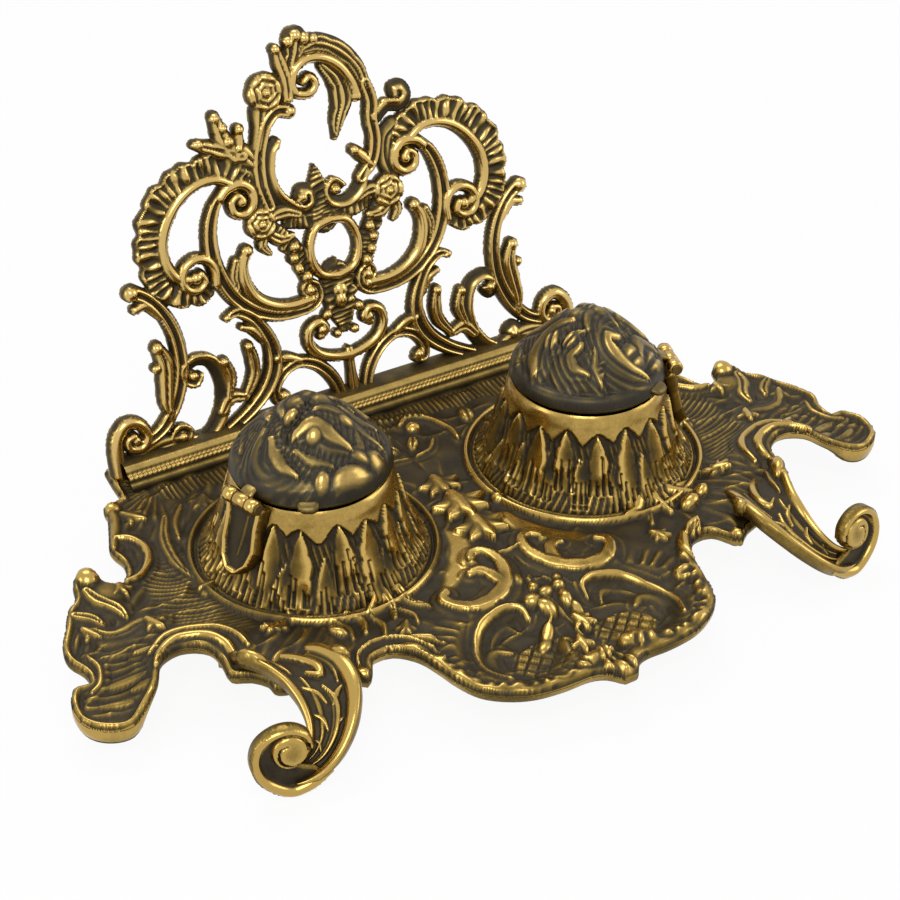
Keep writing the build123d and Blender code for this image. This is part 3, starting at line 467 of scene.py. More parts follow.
crest_domes = [
    (-9.6, 97.4, 2.1, 3.9), (3.7, 97, 2.1, 3.9), (-9.4, 127.8, 2.3, 3.6), (-11.8, 149.6, 2.1, 3.8),
    (-6.4, 151.0, 2.2, 3.4), (-3.4, 152.6, 2.5, 3.6), (-0.2, 151.0, 2.3, 3.6), (3.4, 150.2, 2.1, 3.2), (16.8, 127.4, 2.4, 3.8), (13.2, 108.8, 2.2, 3.6),
    (-34.5, 122.8, 2.3, 4.2), (-30, 126, 2.2, 3.8), (-36, 127.8, 1.9, 4.0), (-31.2, 119.6, 1.8, 3.6),
    (-45.6, 124.2, 2.0, 3.4), (-38.4, 131.6, 2.0, 3.6), (0, 60.6, 3.4, 3.4)]


# %% Raise the gallery
gallery = Relief(-99, 99, -1.0, 146, 0.5)
fan_line = [(31, 108.6), (36, 114.4), (43, 116), (51, 115), (59, 112), (65.5, 106.5), (69.4, 99),
            (70.8, 91), (69.8, 83), (66.3, 76.6), (60, 73.2), (53.5, 72.2), (48.6, 75)]
for s in (-1, 1):
    gallery.flutes(up(fan_line, s), [8, 9.8, 10, 10, 10, 9.6, 8.6, 7, 5], 3.0, 3.3, lobes=9,
                   notch=0.3, deep=0.85, out=s)
    gallery.flutes(up([(22, 88), (18, 83), (15.4, 78), (13.4, 72.5), (12.6, 67)], s),
                   [6, 7.4, 8, 7, 4], 2.6, 2.1, lobes=4, notch=0.3, out=s)
    for points, widths, rise, cross in both_sides:
        gallery.stroke(up(points, s), [w + 1.3 for w in widths], 0.8, flat)
        gallery.stroke(up(points, s), [w + 0.9 for w in widths], rise, cross)
    for x, z, r, rise in both_domes:
        gallery.dome(s * x, (z - TRAY_TOP) / cos(LEAN), r, rise)
gallery.flutes(up([(-3.2, 107), (-3, 100), (-2.4, 92), (-2, 88)]), [1.2, 7, 9.6, 12], 2.6, 2.0)
gallery.flutes(up([(-16, 89.6), (-8, 88), (0, 87.4), (8, 88), (16, 89.6)]), [5, 6, 6, 6, 5],
               2.4, 2.0)
gallery.flutes(up([(0, 66), (0, 60), (0, 52), (0, 47)]), [14, 15, 13, 5], 2.6, 2.2, lobes=4,
               notch=0.2)
gallery.stroke(up([(0, 38), (0, 30), (0, 22)]), [3.5, 4, 5], 2.8, leaf)
for k, (points, widths, rise, cross) in enumerate(crest):
    gallery.stroke(up(points), [w + 1.2 for w in widths], 0.8, flat)
    if k in crest_leaves:
        gallery.stroke(up(points), [w + 1.0 for w in widths], rise, cross, lobes=3, notch=0.2)
    else:
        gallery.stroke(up(points), [w + 0.9 for w in widths], rise, cross)
for x, z, r, rise in crest_domes:
    gallery.dome(x, (z - TRAY_TOP) / cos(LEAN), r, rise)
gallery.dome(-0.4, 41.8, 2.6, 4.2, squash=1.4)
for x, z, r, turn in ((-27, 91.8, 6.2, 0.3), (24.6, 91.6, 6.6, 0.9), (-18, 136.2, 7.2, 0.1)):
    gallery.blossom(x, (z - TRAY_TOP) / cos(LEAN), r, 4.2, petals=6, turn=turn)
gallery_back = -1.2 - 1.3 * np.sqrt(np.clip(-gallery.D / 1.6, 0, 1))


def on_gallery(x, u, h):
    height = TRAY_TOP + u * cos(LEAN) + h * sin(LEAN)
    return np.stack([x, GALLERY_Y + u * sin(LEAN) - h * cos(LEAN), np.minimum(height, 155.4)], -1)


gallery.H = np.where(gallery.D < 0, gallery.H, 0)
gallery_work = cast("gallery_openwork", gallery, on_gallery, back=gallery_back,
                    wear=gallery.wear(1.2, 2.5, tall=0.5))
print("gallery faces", len(gallery_work.data.polygons))

# %% Moulded rail under the openwork
rail_line = smooth([(61.9, 17.05), (61.7, 18.4), (62.6, 19.3), (63.6, 19.5), (63.7, 20.6),
                    (64.4, 21.5), (65.6, 21.5), (66.2, 22.3), (67.2, 23.4), (69.4, 24.1),
                    (73, 24.2), (76.6, 24.0), (77.0, 22.0), (77.0, 17.05)], 0.5)
along = np.arange(-95, 95.01, 0.45)
rope = np.exp(-((rail_line[:, 1] - 21.4) / 0.5) ** 2) * (rail_line[:, 0] < 68)
grid = np.zeros((len(along), len(rail_line), 3))
grid[..., 0] = along[:, None]
bead = 0.35 * np.cos(2 * pi * along / 1.8)[:, None] * rope
grid[..., 1] = rail_line[:, 0] - bead
grid[..., 2] = rail_line[:, 1] + bead
n, m = len(along), len(rail_line)
ids = np.arange(n * m).reshape(n, m)
quads = np.stack([ids[:-1, :-1], ids[:-1, 1:], ids[1:, 1:], ids[1:, :-1]], -1).reshape(-1, 4)
rail_wear = np.clip(0.12 + 0.5 * rope + 0.4 * (np.abs(rail_line[:, 0] - 67.4) < 0.8)
                    + 0.3 * (np.abs(rail_line[:, 0] - 62.8) < 0.7), 0, 1)
rail = add_mesh("gallery_rail", grid.reshape(-1, 3), quads, np.tile(rail_wear, n))
print("rail faces", len(rail.data.polygons))

# %% [markdown]
# ## The tray
# One broad casting: flat in the middle, with wings that slope down to the front, a raised edge,
# a shell dish for pen nibs, and leaf work all over. It is a relief too, laid over the slope.

# %% Outline of the tray, right half
side = [(98.6, 79.0), (99.6, 70.0), (100.5, 60.5), (104.0, 59.0), (108.5, 57.0), (109.0, 52.5),
        (110.5, 48.5), (113.5, 41.0), (116.5, 33.0), (115.2, 26.0), (117.0, 18.5), (121.5, 14.5),
        (125.2, 17.0), (127.0, 22.5), (132.0, 24.0), (135.8, 19.5), (137.5, 13.5), (142.0, 9.0),
        (146.0, 2.0), (150.0, -5.0), (151.0, -11.5), (148.5, -17.5), (148.5, -23.0),
        (153.0, -22.5), (157.0, -27.5), (158.0, -34.5), (155.5, -40.5), (150.0, -44.5),
        (143.5, -45.5), (137.0, -42.0), (131.5, -38.0), (128.0, -32.5), (123.5, -29.8),
        (117.5, -30.0), (112.0, -34.0), (110.5, -40.0), (110.5, -46.5), (105.0, -50.0),
        (101.5, -54.5), (99.0, -60.0), (78.0, -66.0), (73.5, -69.5), (70.0, -66.0),
        (66.5, -60.5), (59.5, -60.5), (54.0, -66.5), (51.5, -74.5), (49.5, -83.0),
        (46.0, -91.0), (39.5, -97.0), (31.0, -101.0), (20.5, -102.5), (11.5, -102.5),
        (6.5, -104.2), (2.5, -109.2)]
half = smooth(side, 2.0)
outline = np.vstack([half, (half * [-1, 1])[::-1]])


# the line along which the tray rises towards a foot, and the height there
ROOT = [(86.0, -50.0), (96.0, -39.0), (107.0, -31.0), (118.0, -28.0), (126.0, -34.0)]
ROOT_TOP = 21.5


def edge_distance(X, Y, ring):
    """Distance to a closed outline, negative inside it."""
    best = np.full(X.shape, 1e9)
    inside = np.zeros(X.shape, bool)
    for (ax, ay), (bx, by) in zip(ring, np.roll(ring, -1, 0)):
        dx, dy = bx - ax, by - ay
        k = np.clip(((X - ax) * dx + (Y - ay) * dy) / max(dx * dx + dy * dy, 1e-9), 0, 1)
        best = np.minimum(best, (X - ax - k * dx) ** 2 + (Y - ay - k * dy) ** 2)
        if ay != by:
            crosses = ((ay > Y) != (by > Y)) & (X < (bx - ax) * (Y - ay) / (by - ay) + ax)
            inside ^= crosses
    return np.where(inside, -1, 1) * np.sqrt(best)


def slope(x, y):
    """Height of the bare tray: level in the middle and raised at the root of a foot.

    The wings slope down to the front, the left one more than the right one.
    """
    ax = np.abs(x)
    wing = ease(ax, 110, 132) * np.where(x > 0, 0.25, 1.0)
    away = np.full(np.shape(ax), 1e9)
    for (px, py), (qx, qy) in zip(ROOT[:-1], ROOT[1:]):
        dx, dy = qx - px, qy - py
        k = np.clip(((ax - px) * dx + (y - py) * dy) / (dx * dx + dy * dy), 0, 1)
        away = np.minimum(away, np.hypot(ax - px - k * dx, y - py - k * dy))
    near = np.exp(-(away / 12.5) ** 2)
    level = TRAY_TOP + wing * 0.12 * (y + 4)
    return level + near * (ROOT_TOP - level)


# %% Dish, edge and rings
tray = Relief(-159, 159, -110, 80, 0.6)
tray.D = edge_distance(tray.X, tray.Y, outline)
X, Y = tray.X, tray.Y
AX = np.abs(X)
front = ease(-Y, 50, 60) * (1 - ease(AX, 52, 60))
lobe = np.hypot((AX - 22) / 20.5, (Y + 77) / 19.0)
dish = ease(1.06 - lobe, 0, 0.5)
middle = ease(1 - np.hypot(X / 15, (Y + 82) / 18), 0, 0.5)
sink = 5.2 * np.maximum(dish, 0.6 * middle) * ease(-tray.D, 3, 8)
rim_wide = 1.25 + 1.3 * front
uneven = 1 + 0.3 * np.sin(X / 3.1 + 0.4 * Y) * np.sin(Y / 4.3 - 0.3 * X)
rim_s = np.clip((-tray.D - rim_wide) / rim_wide, -1, 1)
rim = (1.5 + 0.5 * front) * np.sqrt(1 - rim_s ** 2) * (tray.D > -2 * rim_wide) * uneven
tray.H = np.where(tray.D > -0.4, -0.8, rim - sink)
WELL_X, WELL_Y = 54.8, 2.0
FROM_WELL = np.hypot(AX - WELL_X, Y - WELL_Y)
for radius, half_width, rise in ((42.2, 1.2, 2.4), (39.2, 0.9, 1.3)):
    ring = np.sqrt(np.clip(1 - ((FROM_WELL - radius) / half_width) ** 2, 0, 1)) * rise
    tray.H = np.where(ring > 0, np.maximum(tray.H, ring), tray.H)
# height of the foot of a well over the tray, for leaves that lie over it
over_well = np.interp(FROM_WELL, [36, 39.2, 45], [2.6, 1.2, 0])
print("tray metal", int((tray.D < 0).sum() * 0.36), "square mm")

# %% [markdown]
# ## Leaf work on the tray
# Scrolls, husks and shells are strokes again: broad rounded bands that polish up, on a ground
# that stays dark. Only the wings and the corners have fine flutes in the ground.

# %% Strokes on both halves of the tray: points, widths, rise, cross section
both_tray = [
    # C scroll in front of the wells, with its inner arm, and the thin tie to the other one
    ([(13.6, -32.6), (11.4, -30.2), (8.2, -30.6), (6.2, -34.0), (6.0, -40.0), (8.4, -46.5),
      (13.0, -52.0), (19.5, -55.0), (26.0, -54.8), (31.0, -51.0), (32.4, -46.6), (29.8, -44.2)],
     [3.4, 3.6, 3.8, 4.6, 5.2, 5.8, 6.2, 6.2, 5.6, 5.0, 4.4, 3.4], 2.9, slab),
    ([(18.0, -39.4), (14.2, -39.6), (12.0, -43.4), (11.4, -48.0)], [3.0, 4.6, 5.0, 4.4], 2.7, slab),
    ([(0.0, -34.6), (4.0, -33.8), (7.6, -31.4)], [1.5, 1.6, 1.8], 2.2, round_bar),
    # ridges round each lobe of the dish, and the leaf that lies in it
    ([(11.4, -66.5), (12.6, -61.6), (18.5, -59.6), (27.6, -62.6), (34.0, -71.0), (36.4, -81.0),
      (33.6, -90.4)], [1.6, 2.6, 3.0, 3.0, 3.0, 2.6, 1.6], 2.3, round_bar),
    ([(16.0, -68.5), (19.0, -64.4), (25.0, -66.4), (29.6, -72.0)], [1.0, 1.8, 1.8, 1.0], 0.9,
     round_bar),
    ([(24.4, -76.0), (28.6, -73.2), (33.0, -76.6), (34.8, -83.0), (33.4, -90.5)],
     [2.4, 4.4, 5.8, 6.0, 3.0], 1.7, round_bar),
    # cut with a bright rim, the band round the corner behind it, and the knob
    ([(112.0, 38.6), (107.6, 36.0), (105.4, 29.0), (107.6, 21.6), (113.0, 15.6), (119.0, 13.6)],
     [1.8, 2.8, 3.2, 3.2, 2.8, 1.8], 2.8, round_bar),
    ([(115.0, 33.0), (111.6, 40.4), (107.6, 49.0), (106.6, 55.0)], [2.0, 3.6, 4.0, 3.6], 2.0,
     round_bar),
    ([(133.0, 14.4), (131.4, 9.0), (127.4, 3.0), (126.4, -3.0)], [4.0, 6.4, 5.0, 2.0], 2.5, leaf),
    ([(141.0, 6.0), (136.6, 2.4), (134.4, -2.0)], [3.6, 5.0, 2.0], 2.0, leaf),
    # ridges on the wing
    ([(138.4, -3.0), (135.0, -7.4), (129.8, -8.4), (123.6, -7.2), (116.4, -9.0)],
     [2.4, 4.4, 5.2, 5.6, 3.0], 2.3, side_roll),
    ([(131.4, -20.2), (128.2, -21.6), (125.2, -24.2)], [1.8, 3.2, 2.4], 2.3, round_bar),
    ([(144.8, -12.6), (143.4, -18.6), (146.0, -25.4), (150.0, -28.0)], [1.2, 2.0, 2.2, 1.6], 1.8,
     round_bar),
    ([(141.0, -15.0), (136.0, -16.4), (131.0, -15.6)], [1.0, 2.0, 1.0], 1.2, round_bar),
    # two ridges that run round the cut between the wing and the foot
    ([(129.6, -33.4), (126.2, -28.4), (121.2, -25.6), (115.4, -25.8), (109.6, -29.2),
      (106.6, -35.2), (106.2, -41.6), (104.4, -46.6)], [2.4, 3.4, 4.0, 4.2, 4.0, 3.6, 3.0, 2.0], 3.2,
     round_bar),
    ([(128.4, -25.0), (121.6, -20.4), (113.6, -20.6), (105.6, -24.8), (101.6, -31.6),
      (100.6, -39.6)], [1.8, 3.2, 3.6, 3.4, 2.8, 1.4], 2.6, round_bar),
    # behind the wells: a coil round a ball
    ([(6.0, 49.6), (11.0, 52.8), (17.4, 48.8), (21.0, 39.0), (20.4, 32.0)],
     [2.2, 2.8, 2.8, 2.4, 1.2], 2.0, round_bar),
    ([(2.0, 30.0), (8.0, 31.4), (12.6, 36.6)], [1.2, 2.0, 1.2], 1.5, round_bar),
    ([(22.6, 33.0), (27.0, 36.4), (33.0, 37.0)], [1.2, 2.2, 1.2], 1.2, round_bar),
    # long leaf that sweeps round behind the strap
    ([(92.0, 42.0), (97.6, 30.0), (99.6, 16.0), (97.8, 5.0)], [2.4, 4.4, 4.4, 2.0], 1.8, leaf),
    ([(84.0, 46.0), (90.0, 38.0), (93.0, 28.0)], [1.4, 2.6, 1.0], 1.2, round_bar),
]
one_side = [
    # right corner of the dish: two leaves that curl over the edge
    (1, [(52.6, -71.0), (53.0, -64.0), (56.4, -57.8)], [3.2, 5.6, 4.2], 3.2, round_bar),
    (1, [(58.4, -63.0), (61.4, -58.6), (64.8, -54.4)], [3.4, 5.4, 3.0], 3.2, leaf),
    (1, [(56.8, -59.0), (60.6, -55.0), (65.4, -53.6)], [1.6, 3.0, 2.0], 3.6, round_bar),
    # left corner of the dish: a hollow roll along the edge that ends in a knob
    (-1, [(72.6, -66.0), (68.6, -59.0), (62.0, -56.4), (55.4, -58.8), (51.0, -64.6),
          (48.6, -72.0)], [4.0, 6.6, 7.0, 7.0, 6.0, 4.0], 2.6, channel),
    (-1, [(52.0, -57.0), (46.6, -60.0), (43.6, -66.0)], [1.6, 3.0, 1.4], 1.8, round_bar),
]
over_leaves = [
    # leaves that hang over the ring of a well, on the right and on the left
    (1, [(63.0, -29.6), (60.4, -35.0), (61.2, -44.0)], [3.8, 3.4, 2.2], 2.0, round_bar),
    (1, [(63.6, -29.6), (67.6, -34.4), (74.0, -39.0)], [3.8, 3.6, 1.8], 2.0, round_bar),
    (1, [(63.4, -32.0), (64.0, -37.0), (63.6, -42.0)], [1.4, 2.2, 1.0], 1.6, round_bar),
    (1, [(46.4, -38.8), (51.0, -37.4), (56.6, -32.6)], [3.0, 4.8, 3.6], 2.2, round_bar),
    (1, [(57.4, -36.0), (54.0, -41.0), (52.0, -46.0)], [2.6, 3.4, 1.4], 1.2, leaf),
    (1, [(70.0, -33.0), (77.0, -33.0), (83.0, -29.0)], [1.8, 2.8, 1.4], 1.0, round_bar),
    (-1, [(59.6, -32.0), (57.0, -28.8), (53.2, -30.6), (52.6, -35.6), (57.2, -40.2)],
     [3.4, 3.6, 3.2, 2.4, 1.4], 2.6, round_bar),
    (-1, [(52.2, -29.0), (48.8, -33.4), (48.4, -40.0), (50.6, -46.6)], [3.0, 4.6, 3.8, 1.6], 2.0,
     leaf),
    (-1, [(46.2, -28.6), (42.8, -34.4), (42.4, -40.6), (38.0, -46.6)], [2.4, 4.0, 3.2, 1.2], 1.8,
     leaf),
    (-1, [(47.0, -43.0), (44.6, -48.0), (45.6, -53.0)], [1.4, 3.0, 1.2], 1.6, round_bar),
    (-1, [(63.6, -36.6), (60.6, -42.0), (62.6, -48.6)], [1.6, 3.4, 1.6], 1.6, round_bar),
    (-1, [(69.0, -38.0), (66.6, -43.6), (68.0, -50.0)], [1.4, 3.0, 1.2], 1.4, round_bar),
    (-1, [(57.0, -41.6), (55.6, -47.0), (57.6, -52.6)], [1.4, 2.6, 1.2], 1.4, round_bar),
]
for points, widths, rise, cross in both_tray:
    for s in (-1, 1):
        flipped = [(s * x, y) for x, y in points]
        if rise > 1:
            tray.stroke(flipped, [1.8 * w + 2.4 for w in widths], 0.42 * rise, round_bar, lift=-sink,
                        solid=False)
        wavy = max(2, int(sum(hypot(c - a, d - b) for (a, b), (c, d) in zip(points, points[1:])) / 7))
        tray.stroke(flipped, [1.15 * w for w in widths], rise, cross, lobes=wavy, notch=0.14,
                    lift=-sink, solid=False)
for s, points, widths, rise, cross in one_side:
    tray.stroke([(s * x, y) for x, y in points], widths, rise, cross, solid=False)
for s, points, widths, rise, cross in over_leaves:
    tray.stroke([(s * x, y) for x, y in points], widths, rise, cross, lift=over_well, solid=False)

# %% Husks down the middle, palms, buds and knobs
for y, reach, rise in ((15.0, 11.0, 2.2), (2.6, 14.6, 3.0), (-12.0, 13.6, 2.6)):
    tray.palm(0, y, reach, -90, 66, 5, rise, wide=0.44)
    tray.bud(0, y - 0.2 * reach, 0.3 * reach, 0.24 * reach, 90, rise)
for s in (-1, 1):
    for x, y, reach, turn, spread, lobes, rise in (
            (121.0, -6.6, 8.0, -110, 40, 3, 2.4), (86.6, -33.0, 6.4, -20, 50, 4, 2.6),
            (99.0, -1.0, 6.6, 175, 30, 3, 2.4), (48.6, -50.0, 7.0, -60, 40, 4, 1.8),
            (121.6, 14.6, 7.4, -75, 55, 4, 2.2), (141.0, -1.0, 7.0, -120, 40, 3, 1.8),
            (104.0, 51.0, 9.0, -130, 35, 3, 1.8), (75.0, 47.0, 8.0, -60, 50, 4, 1.3),
            (40.0, 42.0, 7.0, -110, 50, 4, 1.3), (91.0, -36.0, 9.0, 150, 26, 3, 2.0)):
        tray.palm(s * x, y, reach, turn if s > 0 else 180 - turn, spread, lobes, rise, wide=0.38)
    for x, y, r in ((14.0, -34.4, 2.4), (130.0, 20.0, 4.6), (106.0, 55.6, 3.4), (9.6, 46.4, 3.2),
                    (73.4, -66.4, 3.2), (98.0, -3.0, 2.0)):
        tray.dome(s * x, y, r, 0.9 * r, solid=False)
    for x, y, long, wide, turn in ((31.4, 44.6, 4.6, 3.0, 80), (4.8, 38.0, 4.4, 2.4, 60),
                                   (127.0, 11.0, 8.0, 6.0, -30), (145.0, -36.6, 6.0, 1.6, 25),
                                   (139.0, -30.0, 7.0, 1.8, 22), (135.0, -36.0, 5.0, 1.5, 18)):
        tray.bud(s * x, y, long, wide, turn if s > 0 else 180 - turn, 2.3 if x < 130 else 1.3,
                 cleft=0.35 if x < 40 else 0.0)
tray.dome(13.4, -6.6, 2.7, 3.2, solid=False)
tray.bud(69.6, -43.4, 4.4, 3.2, 15, 3.8)
tray.bud(76.0, -41.0, 4.0, 2.8, 35, 3.6)
tray.bud(-70.5, -44.0, 4.0, 2.4, 120, 2.8)
tray.dome(52.4, -31.4, 2.8, 2.6, solid=False, lift=over_well)
for x, y, long, wide, turn, rise in (
        (-5.7, -49.4, 3.2, 2.1, 65, 2.4), (-7.0, -61.2, 3.0, 2.8, 0, 3.2),
        (-4.4, -65.8, 3.9, 2.4, -70, 3.0), (-0.8, -59.4, 3.0, 2.1, 25, 2.8),
        (-2.6, -55.0, 2.2, 1.8, 80, 2.2), (3.6, -65.0, 3.9, 1.9, 80, 2.8),
        (5.0, -58.4, 2.2, 2.0, 0, 2.8), (6.6, -55.0, 2.0, 1.6, 60, 2.2),
        (-9.6, -74.4, 4.2, 2.0, 55, 2.0), (-13.0, -78.6, 3.4, 1.9, 40, 1.6),
        (-8.8, -84.0, 3.8, 1.9, 75, 1.4), (4.6, -71.0, 3.4, 1.7, 85, 2.4)):
    tray.bud(x, y, 1.15 * long, 1.15 * wide, turn, 0.9 * rise, lift=-0.8 * sink)
tray.palm(1.8, -72.6, 8.4, -66, 48, 4, 2.2, wide=0.3, lift=-0.8 * sink)
tray.palm(-2.6, -82.0, 8.0, -100, 40, 3, 2.0, wide=0.28, lift=-0.8 * sink)
for points in ([(-3, -42.6), (-4.6, -46), (-5.6, -48)], [(-2, -50), (-1.6, -62), (0, -72), (-1, -86)],
               [(3, -52), (4.6, -56), (4, -64), (3, -72)], [(-2.6, -68), (-7, -71.6), (-12, -77)]):
    tray.stroke(points, [0.8, 1.4, 0.8], 1.2, round_bar, solid=False, lift=-0.9 * sink)

# %% Lumps and leaves along the front edge, and the shell at its middle
for x, y, long, wide, turn, rise in ((-6.5, -97.0, 8.2, 3.6, 12, 3.0), (13.0, -95.4, 7.4, 4.6, -28, 2.6),
                                     (20.6, -98.4, 5.0, 2.4, -8, 2.2), (-19.0, -99.6, 5.0, 2.2, 6, 2.2),
                                     (45.0, -73.4, 4.4, 3.4, 70, 2.6), (44.8, -84.0, 4.4, 2.4, 62, 2.2)):
    tray.bud(x, y, long, wide, turn, rise)
shell = ease(1 - np.abs(X + 1) / (2.5 + 0.42 * (-Y - 92)), 0, 0.5) * ease(-Y, 92, 95)
tray.H = tray.H + shell * (1.0 + 0.9 * np.cos(np.arctan2(X + 1, -Y - 86) * 26))

# %% Trellis in the dish: small raised tiles with dark grooves between them
tile = 5.5
panel = ease(1.0 - np.hypot((AX - 15) / 13.0, (Y + 84) / 9.4), 0, 0.2) * (tray.H + sink < 0.9)
grooves = [np.abs(((X + t * Y) / tile) % 1 - 0.5) * 2 for t in (-1, 1)]
tiles = (1 - ease(grooves[0], 0.74, 0.92)) * (1 - ease(grooves[1], 0.74, 0.92))
tray.H = tray.H + 1.2 * tiles * panel

# %% Flutes: on the lip of the dish, on the shells of the corners and on the wings
sheet = np.array([(7.6, -15), (8.6, -25), (12, -28.6), (16.5, -36), (24, -41.5), (31.5, -42.6),
                  (27, -37), (20, -29), (15, -21), (12.4, -13)])
sheet_area = ease(-edge_distance(AX, Y, sheet), -1.0, 1.6)
bare = ease(1.0 - (tray.H + sink), 0, 0.8) * ease(-tray.D, 2.6, 4.6) * (1 - sheet_area)
drift = 1.7 * np.sin(AX / 13.0 + 0.6) + 1.5 * np.sin(Y / 9.0 + AX / 17.0) + 0.7 * np.sin(Y / 4.1 - AX / 6.3)
folds = 1 - np.abs(np.sin(0.11 * AX + 0.17 * Y + drift + 0.5 * np.sign(X)))
tray.H = tray.H + (0.9 * folds ** 1.6 - 0.2) * bare * ease(FROM_WELL, 43, 46) * (Y < 58)
lobe_turn = np.arctan2(Y + 77, AX - 22)
outer_lobe = ease(AX, 24, 34) * ease(1.56 - lobe, 0, 0.2) * ease(lobe, 0.98, 1.08)
lip = np.maximum(outer_lobe, ease(-Y, 92, 96) * (AX > 9)) * front
tray.H = tray.H + 0.55 * lip * np.cos(lobe_turn * 31 + 1.2 * np.sin(lobe_turn * 9)) * ease(-tray.D, 2, 4)
fan_r = np.hypot(AX - 92, Y - 35)
fan = ease(AX, 90, 94) * (1 - ease(AX, 112, 116)) * ease(-Y, -24, -18) * (1 - ease(-Y, 27, 31))
wing = ease(AX, 117, 123) * ease(-Y, 8, 14)
back_shell = ease(AX, 88, 92) * ease(Y, 40, 44)
shell_turn = np.arctan2(Y - 62, AX - 86)
calm = ease(AX, 60, 76)
wander = 2.2 * np.sin(X / 15.0 + 0.7) + 2.4 * np.sin(Y / 11.0 + AX / 23.0)
tray.H = (tray.H + bare * fan * 0.42 * np.cos(2 * pi * fan_r / 2.1)
          + bare * wing * 0.42 * np.cos(2 * pi * (Y - 0.32 * AX + 0.5 * wander) / 3.3)
          + bare * back_shell * 0.5 * np.cos(shell_turn * 34))
tray.H = np.where(tray.D > -0.4, -0.8, tray.H * ease(-tray.D, 0.0, 1.0))
rest = bare * calm * (1 - fan) * (1 - wing) * (1 - back_shell)
tray.H = tray.H + rest * 0.3 * np.cos(2 * pi * (0.33 * AX + 0.2 * Y + wander) / 2.5)
fringe = ease(Y, 48, 50) * (1 - ease(Y, 60, 61)) * (AX < 88) * (Y > 50 + 2.6 * np.abs(np.sin(X / 5.2)))
tray.H = tray.H + 0.5 * np.cos(2 * pi * X / 2.0) * fringe
rng = np.random.default_rng(7)
lumps = sum(np.sin(X / a + p) * np.sin(Y / b + q)
            for a, b, p, q in rng.uniform([1.6, 1.6, 0, 0], [5, 5, 6.3, 6.3], (7, 4)))
tray.H = tray.H + 0.13 * lumps * bare

# %% Smooth sheets of bare metal between a ring and its C scroll, seen as half polished
polish = sheet_area * (tray.H < 1.7)
tray.H = np.where(polish > 0, tray.H + 0.5 * polish, tray.H)
tray_wear = tray.wear(1.2, 3.2, tall=0.42, base=-sink)
tray_wear = np.maximum(tray_wear, 0.66 * polish)
faint = 1 - 0.5 * ((X < 0) & (np.abs(FROM_WELL - 41) < 3) & (Y > -32))
tray_wear = tray_wear * faint


def on_tray(x, y, h):
    return np.stack([np.clip(x, -158, 158), np.maximum(y, -109.2), slope(x, y) + h], -1)


tray_work = cast("tray_relief", tray, on_tray, wear=tray_wear)
print("tray faces", len(tray_work.data.polygons))

# %% Turned edge of the tray: a strip that follows the outline and rolls under
closed = np.vstack([outline, outline[:1]])
run = np.concatenate([[0], np.cumsum(np.hypot(*np.diff(closed, axis=0).T))])
spots = np.arange(0, run[-1], 0.8)
ring = np.stack([np.interp(spots, run, closed[:, 0]), np.interp(spots, run, closed[:, 1])], 1)
along_ring = np.roll(ring, -1, 0) - np.roll(ring, 1, 0)
along_ring /= np.maximum(np.hypot(along_ring[:, 0], along_ring[:, 1]), 1e-6)[:, None]
if edge_distance(*(ring[:1] + 0.3 * along_ring[:1, ::-1] * [1, -1]).T, outline)[0] > 0:
    along_ring = -along_ring
inward = along_ring[:, ::-1] * [1, -1]
is_lip = ease(np.abs(ring[:, 0]), 134, 141) * ease(-ring[:, 1], 22, 27)
rows = []
for inset, height in ((0.5, 0.1), (0.1, -0.4), (0.0, -1.1), (0.05, -1.9), (0.5, -2.8), (1.3, -3.35),
                      (3.0, -3.4)):
    spot = ring + inset * inward
    deeper = 1 + 0.88 * is_lip if height < -1 else 1.0
    rows.append(on_tray(spot[:, 0], spot[:, 1], height * deeper))
rows = np.array(rows)
ids = np.arange(rows.shape[0] * rows.shape[1]).reshape(rows.shape[:2])
nxt = np.roll(ids, -1, 1)
quads = np.stack([ids[:-1], ids[1:], nxt[1:], nxt[:-1]], -1).reshape(-1, 4)
rub = np.array([0.6, 0.76, 0.76, 0.7, 0.6, 0.45, 0.25])[:, None] * (
    0.72 + 0.28 * np.sin(ring[:, 0] / 9.0) * np.sin(ring[:, 1] / 7.0) + 0.3 * is_lip)[None]
tray_edge = add_mesh("tray_edge", rows.reshape(-1, 3), quads, np.clip(rub, 0, 1).ravel())

# %% Body of the tray: the sunk dish and the underside
body = Relief(-159.6, 159.6, -110.4, 80.4, 1.6)
body.D = edge_distance(body.X, body.Y, outline) + 1.0
BX, BY = body.X, body.Y
under_lobe = ease(1.12 - np.hypot((np.abs(BX) - 22) / 21.0, (BY + 77) / 19.6), 0, 0.45)
under_middle = ease(1 - np.hypot(BX / 17, (BY + 82) / 20), 0, 0.5)
pan = 4.4 * np.maximum(under_lobe, 0.6 * under_middle) * ease(-body.D, 2, 7)
body.H = -2.0 - pan - 0.8 * ease(-body.D, 0, 2)
lip_body = ease(np.abs(BX), 134, 141) * ease(-BY, 22, 27) * (body.D > -5)
body_back = -3.4 - 1.05 * pan - 3.0 * lip_body
tray_body = cast("tray_body", body, on_tray, back=body_back, wear=np.full(body.D.shape, 0.2))

# %% [markdown]
# ## The wells
# Each well is a bell, smooth at the mouth, where a band ends in points, and covered in upright
# flames below. The relief is wrapped round: x is the way round, y the way down the flank.

# %% Bell shape and its flames
bell = smooth([(25.7, 50.1), (26.3, 49.3), (26.9, 47.4), (27.4, 45), (28.4, 41.4), (29.8, 36),
               (31.6, 30.6), (33.6, 26), (35.6, 22.8), (37.4, 20.6), (38.6, 18.8), (39.2, 17.1)],
              0.4)
bell_run = np.concatenate([[0], np.cumsum(np.hypot(*np.diff(bell, axis=0).T))])
bell_slope = np.gradient(bell, axis=0)
bell_slope /= np.hypot(bell_slope[:, 0], bell_slope[:, 1])[:, None]
ROUND = 2 * pi * 31.0


